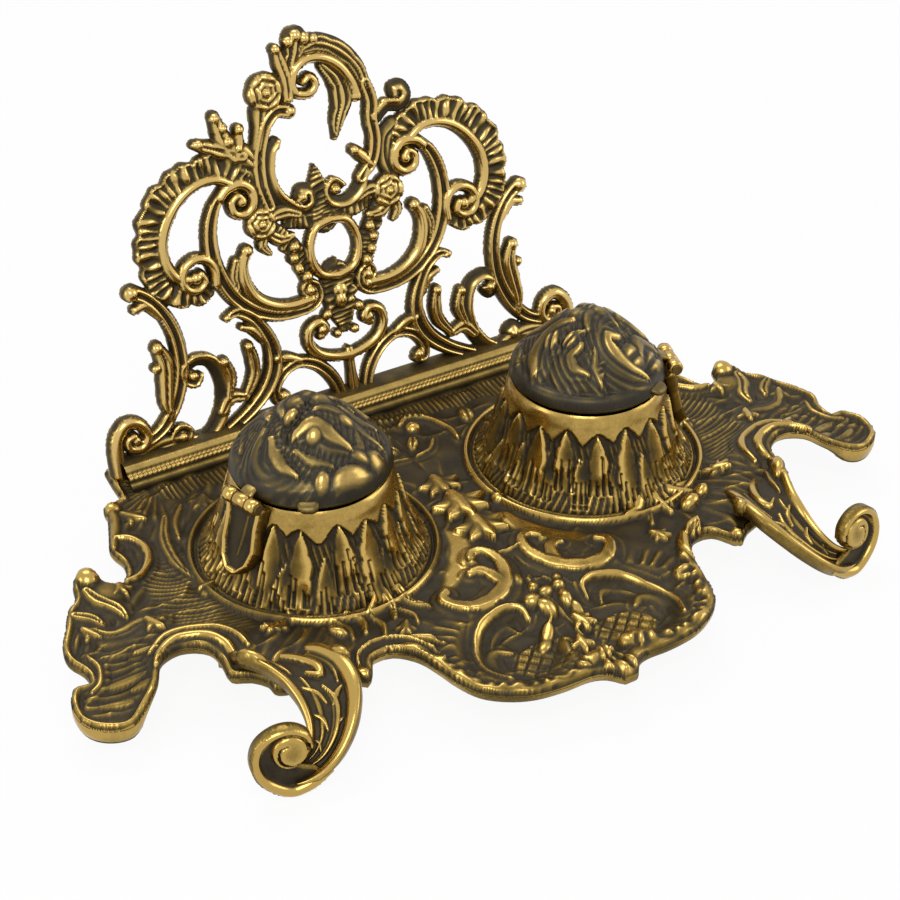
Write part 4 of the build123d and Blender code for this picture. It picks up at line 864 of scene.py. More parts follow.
def on_bell(cx):
    def place(x, y, h):
        r = np.interp(y, bell_run, bell[:, 0]) + h * np.interp(y, bell_run, -bell_slope[:, 1])
        z = np.interp(y, bell_run, bell[:, 1]) + h * np.interp(y, bell_run, bell_slope[:, 0])
        a = 2 * pi * x / ROUND
        return np.stack([cx + r * np.sin(a), WELL_Y - r * np.cos(a), z], -1)
    return place


# middles of the tongues, in millimetres round the flank from the front
TONGUES = {
    1: [-36, -25, -13.5, -2, 9, 19, 29.5, 40.5, 51.5, 62.5, 73.5, 84.5, 95.5, -47, -58, -69, -80, -90],
    -1: [-29, -19.5, -6, 5, 15, 26, 37, 48, 59, 70, 81, 92, -40, -51, -62, -73, -84, -94]}


def flame(s, t):
    """A tongue that rises to one side and sinks back into the flank at its lower end."""
    return (np.clip((1 - np.abs(s)) * 2.6, 0, 1) ** 0.7 * (0.68 + 0.32 * s)
            * (1 - 0.6 * ease(t, 0.66, 1.0)))


def flame_left(s, t):
    return flame(-s, t)


def raise_well(s, seed):
    """Broad tongues of metal, split at their lower ends, under a band that is cut into points."""
    rng = np.random.default_rng(seed)
    well = Relief(-ROUND / 2, ROUND / 2, 0, bell_run[-1], 0.5)
    well.x = np.linspace(-ROUND / 2, ROUND / 2, len(well.x))
    well.X, well.Y = np.meshgrid(well.x, well.y)
    well.D = np.full(well.X.shape, -5.0)
    low = bell_run[-1]
    fine = np.cos(2 * pi * (well.X + 1.3 * np.sin(well.Y / 5.0) + 0.8 * np.sin(well.X / 7.0)) / 2.1)
    well.H = (0.35 * fine + 0.3) * ease(well.Y, 9, 13)
    for x in TONGUES[s]:
        for side in (-5.2, 5.2):
            if rng.random() < 0.8:
                top = rng.uniform(14, 20)
                end = min(top + rng.uniform(14, 18), low - 1.5)
                well.stroke([(x + side, top), (x + 1.05 * side, 0.5 * (top + end)),
                             (x + 1.1 * side, end)],
                            [0.6, 4.2, 6.6, 7.4, 6.0], rng.uniform(1.3, 1.9), flame, solid=False)
                for e in (-1.5, 0.4, 2.0):
                    well.stroke([(x + 1.1 * side + 0.8 * e, end - rng.uniform(4, 9)),
                                 (x + 1.1 * side + e, end + 1)], [0.2, 0.7, 1.0], -1.3, round_bar,
                                solid=False, onto=True)
    for x in TONGUES[s]:
        x = x + rng.uniform(-0.6, 0.6)
        lean = rng.uniform(-1.6, 1.6)
        start, end = rng.uniform(4.8, 7.5), rng.uniform(25.5, low - 2.5)
        wide = rng.uniform(8.8, 11.2)
        path = [(x, start), (x + 0.3 * lean, start + 0.3 * (end - start)),
                (x + 0.5 * lean, start + 0.65 * (end - start)), (x + lean, end)]
        cross = flame if rng.random() < 0.55 else flame_left
        well.stroke(path, [0.8, 0.5 * wide, 0.84 * wide, wide, wide, 0.95 * wide, 0.8 * wide],
                    2.3 * rng.uniform(0.9, 1.1), cross, lobes=int(rng.integers(2, 5)), notch=0.16,
                    solid=False)
        for e in (-0.34, -0.12, 0.12, 0.34):
            e = e + rng.uniform(-0.06, 0.06)
            top = end - rng.uniform(3, 15)
            well.stroke([(x + 0.9 * e * wide + 0.5 * lean, top), (x + e * wide + lean, end + 1.5)],
                        [0.2, 0.8, 1.1], -1.5, round_bar, solid=False, onto=True)
    gap = np.min([np.abs((well.X - x + ROUND / 2) % ROUND - ROUND / 2) for x in TONGUES[s]], axis=0)
    edge = 5.6 + 4.6 * np.clip(gap / 5.4, 0, 1) ** 1.4 + 0.7 * np.sin(well.X / 3.3)
    well.H = np.where(well.Y < edge, np.maximum(0.35 * well.H, 1.2), well.H)
    worn = well.wear(0.9, 2.0, tall=0.5)
    worn = np.where(well.Y < edge - 0.4, 0.62, worn)
    return well, worn


well_shapes = {}
for s, hand, seed in ((-1, "left", 3), (1, "right", 8)):
    well, worn = raise_well(s, seed)
    well_shapes[hand] = cast("well_flames_" + hand, well, on_bell(s * WELL_X), wear=worn)
print("well faces", len(well_shapes["left"].data.polygons))

# %% Mouth of a well: the rolled rim and the bore
def turned(name, profile, cx, cy, count=144, wear=0.6):
    """A surface turned round an upright axis."""
    profile = np.asarray(profile, float)
    a = np.arange(count) * 2 * pi / count
    ring = np.stack([np.cos(a), np.sin(a)], -1)
    points = np.zeros((len(profile), count, 3))
    points[..., 0] = cx + profile[:, 0, None] * ring[:, 0]
    points[..., 1] = cy + profile[:, 0, None] * ring[:, 1]
    points[..., 2] = profile[:, 1, None]
    ids = np.arange(len(profile) * count).reshape(len(profile), count)
    nxt = np.roll(ids, -1, 1)
    quads = np.stack([ids[:-1], nxt[:-1], nxt[1:], ids[1:]], -1).reshape(-1, 4)
    return add_mesh(name, points.reshape(-1, 3), quads, np.full(ids.size, wear))


mouth = smooth([(25.7, 50.1), (25.4, 50.4), (24.9, 50.2), (22.8, 50.0), (22.6, 49.4), (22.6, 40),
                (24.2, 36), (28, 30), (33, 22), (35.6, 19.2), (36, 17.1)], 1.2)
mouths = {hand: turned("well_mouth_" + hand, mouth, s * WELL_X, WELL_Y)
          for s, hand in ((-1, "left"), (1, "right"))}

# %% [markdown]
# ## The lids
# A lid is a knobbly dome of shells and C scrolls that swirl up to a bud. It is drawn from above
# and lifted onto the dome.

# %% Dome and its swirls
dome_line = np.array([(0, 78.2), (3, 77.9), (6, 76.6), (9.4, 74.0), (12.4, 71.4), (15.8, 68.4),
                      (19.4, 65.0), (22.6, 61.8), (25.2, 58.6), (26.8, 55.8), (27.4, 53.4),
                      (27.9, 52.4)])


LID_ROLLS = {
    # right lid: a C over a hollow shell at the front, rolls that climb round the rest
    1: [([(4.0, -10.4), (0.4, -9.4), (-1.8, -12.6), (-0.4, -17.4), (3.8, -21.2), (9.0, -23.0)],
         [2.2, 4.4, 5.2, 4.6, 3.2, 1.6], 3.4),
        ([(-6.6, -13.0), (-9.4, -16.4), (-9.0, -20.6)], [2.0, 3.6, 1.6], 2.6),
        ([(-10.0, -8.0), (-14.4, -7.6), (-15.6, -12.6), (-12.0, -17.0)], [2.4, 4.0, 3.4, 1.6], 2.8),
        ([(12.6, -16.0), (16.0, -12.0), (20.6, -11.6)], [2.4, 4.4, 2.4], 3.0),
        ([(20.0, -4.0), (16.6, 1.6), (11.0, 4.0), (7.0, 1.0)], [2.6, 4.8, 5.0, 2.2], 3.2),
        ([(-22.0, -2.0), (-18.0, 2.6), (-12.0, 3.6), (-8.0, 0.0)], [2.6, 4.6, 4.8, 2.2], 3.2),
        ([(-4.0, -6.4), (-1.0, -3.0), (3.6, -3.4), (6.4, -7.0)], [1.6, 3.6, 3.8, 1.6], 2.6),
        ([(14.0, 18.0), (9.0, 16.4), (4.0, 12.0), (5.0, 6.4)], [2.6, 5.0, 4.8, 2.0], 3.2),
        ([(-14.0, 17.0), (-13.0, 11.0), (-8.0, 7.6), (-3.0, 9.4)], [2.6, 5.0, 4.6, 2.0], 3.2),
        ([(2.0, 23.6), (-3.0, 20.0), (-4.0, 14.6)], [2.4, 4.6, 2.0], 3.0),
        ([(22.0, 8.0), (18.0, 12.0), (14.0, 10.0)], [2.4, 4.2, 2.0], 2.8)],
    # left lid: a crescent inside a great ring, a shell and lumps along the rim
    -1: [([(-16.6, -2.4), (-18.8, -6.6), (-18.4, -12.4), (-15.0, -17.0)], [2.0, 4.0, 3.6, 1.4], 3.0),
         ([(-16.0, 4.6), (-21.6, 1.0), (-24.0, -6.0), (-22.0, -13.6), (-16.6, -20.0), (-9.0, -24.0)],
          [1.6, 3.0, 3.4, 3.4, 3.2, 1.8], 2.4),
         ([(-8.6, -9.6), (-4.6, -10.6), (-1.0, -14.6), (4.0, -17.4)], [3.0, 5.0, 5.6, 2.6], 3.4),
         ([(0.0, -6.0), (6.6, -7.6), (12.6, -12.6), (18.4, -15.0)], [1.8, 3.4, 3.6, 1.4], 2.8),
         ([(-12.0, -12.6), (-9.6, -17.6), (-3.6, -20.6)], [1.8, 3.4, 1.6], 2.6),
         ([(10.0, -5.0), (14.6, -8.6), (20.0, -8.0)], [2.2, 4.4, 2.2], 2.8),
         ([(21.0, 1.0), (17.6, 5.0), (11.6, 5.4), (8.0, 1.4)], [2.6, 4.8, 4.8, 2.0], 3.0),
         ([(-8.6, 1.0), (-6.0, 5.0), (-1.0, 5.6), (2.6, 2.0)], [1.8, 3.8, 3.8, 1.6], 3.0),
         ([(13.0, 19.0), (10.0, 14.0), (11.6, 9.4)], [2.4, 4.8, 2.0], 3.0),
         ([(-16.0, 16.6), (-12.0, 12.6), (-12.6, 7.4)], [2.4, 4.8, 2.0], 3.0),
         ([(0.0, 24.0), (-2.6, 18.6), (1.6, 13.4)], [2.4, 5.0, 2.0], 3.0)]}
LID_BUDS = {
    1: [(7.6, -17.2, 4.8, 3.6, 25, 3.2), (-7.4, -18.4, 1.8, 1.8, 0, 2.6), (-14.4, 1.8, 3.4, 2.6, 40, 3.2),
        (-10.8, -4.8, 2.6, 2.2, 0, 3.0), (17.2, -16.0, 3.8, 2.6, 40, 3.0), (2.0, 2.6, 3.4, 2.8, 20, 3.0),
        (-3.4, 1.0, 2.6, 2.2, 0, 2.8), (22.6, -6.0, 2.6, 2.0, 60, 2.6), (6.0, 12.0, 2.8, 2.4, 0, 3.0)],
    -1: [(2.4, -24.0, 7.0, 2.9, 3, 3.4), (-7.6, -22.4, 2.8, 2.4, 20, 3.2), (13.6, -19.8, 3.8, 2.6, 35, 3.2),
         (-4.4, -11.4, 3.0, 2.6, 0, 3.4), (8.4, -19.6, 3.4, 2.2, -20, 3.0), (-8.0, -1.6, 2.2, 2.0, 0, 3.0), (1.0, 3.0, 3.2, 2.6, 0, 2.8),
         (9.0, -9.0, 2.8, 2.2, -30, 3.0)]}


def raise_lid(s, seed):
    """Rolls and lumps on the dome, with fine grooves that follow them in the hollows."""
    rng = np.random.default_rng(seed)
    lid = Relief(-29, 29, -29, 29, 0.4)
    R = np.hypot(lid.X, lid.Y)
    lid.D = R - 27.4
    lid.H = np.zeros_like(R)
    for points, widths, rise in LID_ROLLS[s]:
        lid.stroke(points, [2.7 * w + 2.6 for w in widths], 0.6 * rise, round_bar, solid=False)
        lid.stroke(points, [2.2 * w + 0.4 for w in widths], 1.25 * rise, side_roll, solid=False)
    for x, y, long, wide, turn, rise in LID_BUDS[s]:
        lid.bud(x, y, 1.4 * long, 1.3 * wide, turn, 1.1 * rise, cleft=0.3 if s > 0 else 0.0)
    for k in range(20):
        a, r = rng.uniform(0, 2 * pi), 27 * rng.uniform(0.12, 0.93) ** 0.7
        b = a + rng.uniform(0.35, 0.8)
        q = r + rng.uniform(-5, 3)
        bend = 0.5 * (a + b) + rng.uniform(-0.25, 0.25)
        lid.stroke([(r * cos(a), r * sin(a)), (1.08 * r * cos(bend), 1.08 * r * sin(bend)),
                    (q * cos(b), q * sin(b))], [2.2, 5.4, 6.2, 2.6], rng.uniform(1.8, 3.2), side_roll,
                   solid=False)
    for x, y, r in ((-4.6, 2.4, 4.4), (3.8, -1.2, 4.6), (1.0, 5.4, 3.8)):
        lid.dome(x, y, r, 3.2, solid=False)
    hollow_x, hollow_y = (6.0, -12.0) if s > 0 else (-15.0, -6.0)
    grooves = np.cos(2 * pi * np.hypot(lid.X - hollow_x, lid.Y - hollow_y) / 1.9)
    lid.H = lid.H + 0.26 * grooves * ease(2.6 - lid.H, 0, 1)
    rim = np.clip((R - 25.9) / 1.5, -1, 1)
    lid.H = np.maximum(lid.H, 0.9 * np.sqrt(1 - rim ** 2) * (R > 24.4))
    return lid


def on_lid(cx):
    def place(x, y, h):
        r = np.hypot(x, y)
        steep = ease(r, 24.5, 27.4)
        z = np.interp(r, dome_line[:, 0], dome_line[:, 1])
        h = h - 2.6 * (1 - steep)
        out = 1 + (0.45 * h * (1 - steep)) / np.maximum(r, 6) * ease(r, 2, 10)
        return np.stack([cx + x * out, WELL_Y + y * out, np.minimum(z + h * 0.8 * (1 - steep), 79.5)], -1)
    return place


lids = {}
for s, hand, seed in ((-1, "left", 21), (1, "right", 34)):
    lid = raise_lid(s, seed)
    lids[hand] = cast("lid_swirls_" + hand, lid, on_lid(s * WELL_X), wear=lid.wear(2.0, 4.6, 0.6, keen=0.75))
lining = smooth([(27.4, 53.6), (27.5, 52.9), (27.0, 52.4), (24.8, 52.4), (24.2, 55.0),
                 (22, 57.6), (17.6, 61.8), (12, 67), (6, 72.6), (0.05, 74.4)], 1.5)
linings = {hand: turned("lid_lining_" + hand, lining, s * WELL_X, WELL_Y, wear=0.3)
           for s, hand in ((-1, "left"), (1, "right"))}
print("lid faces", len(lids["left"].data.polygons))

# %% [markdown]
# ## The front feet
# The tray runs out in an arm that bends over and rolls outwards into a volute. A bright rim
# follows each side, with a dark channel and a leaf between them. The arm is a relief bent over
# a curve; the volute is a relief on a plate that leans back a little.

# %% The bent arm: a sheet between its inner rim and its outer ridge
INNER_RIM = np.array([(84, -39, 12.5), (80.6, -50.5, 20.4), (78.3, -60, 23.8), (78.0, -67, 24.6),
                      (79.2, -74, 23.4), (82.6, -80.5, 20.2), (87.5, -85.8, 15.6), (93.5, -89, 10.4),
                      (99.5, -89.6, 5.8), (105, -88.4, 3.2), (109, -87.2, 2.4)], float)
OUTER_RIDGE = np.array([(108.5, -33, 14.5), (107.4, -42.5, 22.4), (104.2, -52, 24.4),
                        (100.6, -60.8, 23.2), (99.2, -68.6, 20.8), (99.2, -74.6, 17.6), (100.4, -79, 14.6),
                        (102.4, -81.4, 12.2), (104.6, -82.4, 10.8), (106.4, -82.8, 10.0),
                        (108, -83.0, 9.6)], float)
ARM_WIDE, ARM_LONG = 24.0, 60.0


def on_curve(points, t):
    """Points of a smooth curve at t from 0 to the number of spans."""
    p = np.vstack([2 * points[0] - points[1], points, 2 * points[-1] - points[-2]])
    i = np.clip(t.astype(int), 0, len(points) - 2)
    f = (t - i)[..., None]
    a, b, c, d = p[i], p[i + 1], p[i + 2], p[i + 3]
    return 0.5 * (2 * b + (c - a) * f + (2 * a - 5 * b + 4 * c - d) * f ** 2
                  + (3 * b - a - 3 * c + d) * f ** 3)


def on_arm(s):
    def place(x, y, h):
        t = np.clip(y / ARM_LONG, 0, 1) * (len(INNER_RIM) - 1)
        inner, outer = on_curve(INNER_RIM, t), on_curve(OUTER_RIDGE, t)
        across = outer - inner
        ahead = on_curve(INNER_RIM, np.minimum(t + 0.1, 10)) + on_curve(OUTER_RIDGE, np.minimum(t + 0.1, 10))
        behind = on_curve(INNER_RIM, np.maximum(t - 0.1, 0)) + on_curve(OUTER_RIDGE, np.maximum(t - 0.1, 0))
        normal = np.cross(ahead - behind, across)
        normal /= np.linalg.norm(normal, axis=-1, keepdims=True)
        u = x / ARM_WIDE
        hollow = 2.4 * np.clip(4 * u * (1 - u), 0, 1) * np.linalg.norm(across, axis=-1) / ARM_WIDE
        spot = inner + across * u[..., None] + normal * (h - hollow)[..., None]
        return np.stack([s * spot[..., 0], spot[..., 1], np.maximum(spot[..., 2], 0.02)], -1)
    return place


arm = Relief(-4, 28, -2, ARM_LONG + 2, 0.4)
arm.stroke([(12, 0), (12, 30), (12, 45), (11, 58)], [24, 24, 22, 12], 0.6, flat)
arm.stroke([(2.4, 1), (2.4, 12), (2.6, 24), (2.8, 34), (3.6, 44), (5, 52), (6, 59)],
           [4.0, 5.2, 6.2, 7.0, 8.0, 9.0, 3.0], 3.0, round_bar)
arm.stroke([(22.4, 1), (22.4, 12), (22.2, 24), (22, 36), (21.6, 48), (21, 59)],
           [3.6, 3.8, 3.8, 4.0, 5.4, 7.0], 2.6, round_bar)
for points, widths, rise, cross in (
        ([(12.6, 22), (10.6, 27), (10.6, 34), (11.8, 42), (14.2, 50)], [1.6, 4.8, 5.6, 4.6, 1.4],
         2.2, side_roll),
        ([(16.8, 18), (16.8, 28), (16.4, 38), (17.4, 47)], [1.2, 3.0, 3.0, 1.2], 1.4, round_bar),
        ([(13.6, 27), (15.6, 23.4), (19.0, 21.4)], [1.4, 2.8, 1.2], 1.6, round_bar),
        ([(13.8, 35), (16.2, 31.6), (19.4, 30.0)], [1.4, 3.0, 1.2], 1.6, round_bar),
        ([(14.2, 42), (16.8, 39.4), (19.4, 38.4)], [1.4, 2.6, 1.0], 1.4, round_bar),
        ([(11.0, 28), (8.6, 24.8), (6.4, 23.6)], [1.4, 3.0, 1.2], 1.6, round_bar),
        ([(11.0, 36), (8.8, 33.0), (7.2, 32.4)], [1.4, 2.8, 1.2], 1.5, round_bar),
        ([(15.5, 3), (10.4, 7), (8.6, 13), (10.6, 18), (14.0, 17)], [2.6, 4.2, 4.4, 3.2, 1.6], 2.6,
         round_bar),
        ([(18.6, 4), (17.4, 10), (18.4, 16)], [1.6, 3.0, 1.2], 1.6, round_bar),
        ([(5.6, 8), (5.6, 16), (7.0, 22)], [1.4, 2.6, 1.0], 1.6, round_bar)):
    arm.stroke(points, widths, rise, cross, solid=False)
arm.dome(0.6, 12.0, 3.0, 3.4)
arm.dome(21.8, 9.4, 3.3, 4.4)



def rubbed_edge(relief, amount=0.5):
    """Wear of a relief whose cut edges are polished as well."""
    return np.maximum(relief.wear(0.9, 2.3), amount * (relief.D > -0.9))


# Wear of the arm with rubbed edges, and painted shade: the end of the arm between its rims, where it runs in
# behind the volute, is set dark
arm_wear_and_shade = np.where((arm.Y > 53) & (np.abs(arm.X - 13) < 6), 0.12, rubbed_edge(arm))
arms = {hand: cast("foot_arm_" + hand, arm, on_arm(s), back=-2.2, wear=arm_wear_and_shade)
        for s, hand in ((-1, "left"), (1, "right"))}
print("arm faces", len(arms["left"].data.polygons))

# %% The volute
EYE_X, EYE_Y, EYE_Z = 108.4, -84.0, 17.6
volute = Relief(-18, 17, 0, 29, 0.35)
volute.stroke([(-5, 5.5), (2, 7), (6, 13), (2, 19), (-2, 17)], [7, 10, 12, 10, 8], 0.7, flat)
volute.stroke([(-11.0, 7.0), (-6.8, 4.4), (-2.5, 2.6), (2.0, 2.1), (6.8, 4.6), (10.8, 9.2), (12.0, 15),
               (10.0, 20.4), (5.0, 23.6), (-0.4, 23.8), (-4.6, 21.2), (-5.6, 17.4)],
              [2.0, 4.2, 4.2, 3.9, 3.7, 3.4, 3.2, 3.0, 2.6, 2.2], 2.8, round_bar)
eye_r = np.hypot(volute.X - 1.0, volute.Y - 16.8)
volute.H = np.maximum(volute.H, 3.0 * np.clip((6.2 - eye_r) / 1.1, 0, 1) ** 0.5)
volute.D = np.minimum(volute.D, eye_r - 6.2)
volute.stroke([(-5.0, 18.6), (-4.0, 13.8), (0.6, 11.8), (4.4, 14.4), (4.2, 18.4), (1.6, 19.4)],
              [1.3, 1.3, 1.0, 0.6], -1.7, round_bar, onto=True, solid=False)


def on_volute(s):
    turn, back = radians(12), radians(9)

    def place(x, y, h):
        side_x, side_y = cos(turn), sin(turn)
        px = EYE_X + x * side_x + h * sin(turn) * cos(back)
        py = EYE_Y + x * side_y + (y - EYE_Z) * sin(back) - h * cos(turn) * cos(back)
        pz = y * cos(back) + 0.25 + h * sin(back) * 0.3
        return np.stack([s * px, py, np.maximum(pz, 0.02)], -1)
    return place


volutes = {hand: cast("foot_volute_" + hand, volute, on_volute(s), back=-1.6,
                      wear=rubbed_edge(volute))
           for s, hand in ((-1, "left"), (1, "right"))}
print("volute faces", len(volutes["left"].data.polygons))

# %% [markdown]
# ## Hinge straps and thumb tabs
# A shield with a bright border lies on the outer flank of each well and carries two knuckles.

# %% Shield of the strap
TURN = radians(16)
strap = Relief(-10, 10, 0, 30, 0.35)
half_at = np.interp(strap.Y, [0, 2, 10, 18, 23, 26.5, 28], [8.2, 8.4, 7.6, 8.0, 6.6, 3.4, 0.2])
strap.D = np.maximum(np.maximum(np.abs(strap.X) - half_at, -strap.Y + 1.2), strap.Y - 28)
border = np.clip((-strap.D - 1.2) / 1.2, -1, 1)
strap.H = 1.7 * np.sqrt(1 - border ** 2) * (strap.D > -2.4) + 0.5
strap.stroke([(2.6, 6), (1.6, 14), (0.4, 21)], [0.8, 1.4, 0.6], 0.3, round_bar, solid=False, onto=True)
flank = smooth([(27.6, 51.4), (29.6, 50.6), (30.8, 46), (32.2, 40), (34.2, 33), (36.8, 27),
                (39.2, 23.2), (40.4, 21.2)], 0.5)
flank_run = np.concatenate([[0], np.cumsum(np.hypot(*np.diff(flank, axis=0).T))])


def on_flank(s):
    def place(x, y, h):
        r = np.interp(y, flank_run, flank[:, 0]) + 0.8 * h - x * x * 0.012
        z = np.interp(y, flank_run, flank[:, 1]) + 0.45 * h
        px, py = r, -x
        wx = px * cos(TURN) + py * sin(TURN)
        wy = -px * sin(TURN) + py * cos(TURN)
        return np.stack([s * (WELL_X + wx), WELL_Y + wy, z], -1)
    return place


straps = {hand: cast("hinge_shield_" + hand, strap, on_flank(s), back=-2.4,
                     wear=rubbed_edge(strap, 0.45))
          for s, hand in ((-1, "left"), (1, "right"))}

# %% Knuckles of the hinges, rounded at their ends
def rod(name, s, start, end, r, r_out, bevel=0.5, count=40, reach=31.0, height=52.6, wear=0.75):
    """A short rod on the hinge line from start to end, hollow if r is not zero."""
    prof = [(r_out - bevel, start), (r_out, start + bevel), (r_out, end - bevel),
            (r_out - bevel, end)]
    prof = [(r, start)] + prof + [(r, end)]
    a = np.arange(count) * 2 * pi / count
    points = []
    for radius, y in prof:
        px = reach + radius * np.cos(a)
        pz = height + radius * np.sin(a)
        wx = px * cos(TURN) + y * sin(TURN)
        wy = -px * sin(TURN) + y * cos(TURN)
        points.append(np.stack([s * (WELL_X + wx), WELL_Y + wy, pz], -1))
    points = np.array(points)
    ids = np.arange(len(prof) * count).reshape(len(prof), count)
    ids = np.vstack([ids, ids[:1]]) if r else ids
    nxt = np.roll(ids, -1, 1)
    quads = np.stack([ids[:-1], nxt[:-1], nxt[1:], ids[1:]], -1).reshape(-1, 4)
    return add_mesh(name, points.reshape(-1, 3), quads, np.full(len(prof) * count, wear))


knuckles = {}
for s, hand in ((-1, "left"), (1, "right")):
    knuckles[hand] = [rod("strap_knuckle_front_" + hand, s, -7.2, -3.0, 1.25, 2.7),
                      rod("strap_knuckle_back_" + hand, s, 3.0, 7.2, 1.25, 2.7),
                      rod("lid_knuckle_" + hand, s, -2.7, 2.7, 1.3, 2.6)]

# %% Arm of the lid's hinge and the thumb tab
def block(name, s, rows, wear=0.55):
    """Rounded bar through cross sections (reach, height, half width, half thickness)."""
    count = 24
    a = np.arange(count) * 2 * pi / count
    points = []
    for reach, height, wide, thick, ang in rows:
        dx, dy = cos(ang), -sin(ang)
        u = np.sign(np.cos(a)) * np.abs(np.cos(a)) ** 0.6 * wide
        v = np.sign(np.sin(a)) * np.abs(np.sin(a)) ** 0.6 * thick
        px = reach * dx - u * dy
        py = reach * dy + u * dx
        points.append(np.stack([s * (WELL_X + px), WELL_Y + py, height + v], -1))
    points = np.array(points)
    ids = np.arange(len(rows) * count).reshape(len(rows), count)
    nxt = np.roll(ids, -1, 1)
    quads = np.stack([ids[:-1], nxt[:-1], nxt[1:], ids[1:]], -1).reshape(-1, 4)
    return add_mesh(name, points.reshape(-1, 3), quads, np.full(ids.size, wear))


tabs = {}
for s, hand in ((-1, "left"), (1, "right")):
    a = radians(60)
    tabs[hand] = [
        block("thumb_tab_" + hand, s, [(23.5, 54.6, 3.4, 1.0, a), (26.5, 54.4, 3.8, 1.2, a),
                                       (28.8, 53.9, 3.4, 1.2, a), (30.0, 53.6, 2.2, 0.8, a),
                                       (30.3, 53.5, 0.2, 0.2, a)], 0.4),
        block("hinge_arm_" + hand, s, [(24.6, 55.0, 2.5, 1.4, TURN), (27.6, 54.6, 2.6, 1.6, TURN),
                                       (29.4, 54.0, 2.6, 1.2, TURN), (30.6, 53.5, 2.5, 0.7, TURN)])]

# %% [markdown]
# ## Finishes
# Cast brass, darkened and rubbed back. Where `wear` is high the bare alloy shows, a warm yellow
# metal that is nearly a mirror; in the hollows lies a grey brown oxide that is dull.

# %% Colour and node helpers
def srgb(code):
    """Linear colour of an sRGB hex code."""
    out = []
    for k in (1, 3, 5):
        c = int(code[k:k + 2], 16) / 255
        out.append(c / 12.92 if c <= 0.04045 else ((c + 0.055) / 1.055) ** 2.4)
    return (*out, 1.0)


def node(tree, kind, links=(), **settings):
    """Add one node, set its sockets and properties by name, and link it."""
    made = tree.nodes.new(kind)
    for key, value in settings.items():
        if key.startswith("in_"):
            name = key[3:]
            socket = made.inputs[int(name)] if name.isdigit() else made.inputs[
                name.replace("_", " ")]
            socket.default_value = value
        else:
            setattr(made, key, value)
    for source, target in links:
        tree.links.new(source, made.inputs[target])
    return made


# %% Antique brass
def antique_brass(name, dark, mid, bright, black="#241D10", shine=0.2, dull=0.56, shift=0.0,
                  grain_mm=0.9):
    """Darkened brass with rubbed ridges; the colours run from the deepest hollow to the crest."""
    mat = bpy.data.materials.new(name)
    mat.use_nodes = True
    tree = mat.node_tree
    shader = tree.nodes["Principled BSDF"]
    place = node(tree, "ShaderNodeTexCoord").outputs["Object"]
    worn = node(tree, "ShaderNodeAttribute", attribute_name="wear").outputs["Fac"]
    blotch = node(tree, "ShaderNodeTexNoise", [(place, "Vector")], in_Scale=1000 / 6.5,
                  in_Detail=4.0, in_Roughness=0.6).outputs["Fac"]
    grain = node(tree, "ShaderNodeTexNoise", [(place, "Vector")], in_Scale=1000 / grain_mm,
                 in_Detail=3.0).outputs["Fac"]
    uneven = node(tree, "ShaderNodeMath", [(blotch, 0)], operation="MULTIPLY_ADD", in_1=0.42,
                  in_2=shift - 0.21).outputs[0]
    fine = node(tree, "ShaderNodeMath", [(grain, 0), (uneven, 2)], operation="MULTIPLY_ADD",
                in_1=0.16).outputs[0]
    amount = node(tree, "ShaderNodeMath", [(worn, 0), (fine, 1)], operation="ADD").outputs[0]
    ramp = node(tree, "ShaderNodeValToRGB", [(amount, "Fac")])
    stops = ramp.color_ramp.elements
    stops[0].position, stops[0].color = 0.0, srgb(black)
    stops[1].position, stops[1].color = 0.88, srgb(bright)
    for position, code in ((0.24, dark), (0.52, mid)):
        stops.new(position).color = srgb(code)
    tree.links.new(ramp.outputs["Color"], shader.inputs["Base Color"])
    metal = node(tree, "ShaderNodeMapRange", [(amount, "Value")], in_1=0.15, in_2=0.5, in_3=0.6,
                 in_4=1.0).outputs[0]
    tree.links.new(metal, shader.inputs["Metallic"])
    rough = node(tree, "ShaderNodeMapRange", [(amount, "Value")], in_1=0.35, in_2=0.8,
                 in_3=dull, in_4=shine).outputs[0]
    tree.links.new(rough, shader.inputs["Roughness"])
    bump = node(tree, "ShaderNodeBump", [(grain, "Height")], in_Strength=0.12,
                in_Distance=0.0002)
    tree.links.new(bump.outputs["Normal"], shader.inputs["Normal"])
    return mat


brass_tray = antique_brass("antique_brass_tray", "#443921", "#725E2D", "#B99A54")
brass_gallery = antique_brass("antique_brass_gallery", "#483C22", "#857038", "#CFB06C", shift=0.07)
brass_well = antique_brass("antique_brass_well", "#433820", "#7E6630", "#C9A85E", shine=0.17)
brass_lid = antique_brass("antique_brass_lid", "#3A3426", "#675833", "#C0A05C", shift=0.0,
                          shine=0.22, dull=0.44)
brass_pin = antique_brass("drawn_brass", "#5A4925", "#9B7A3C", "#C9A254", shift=0.2)


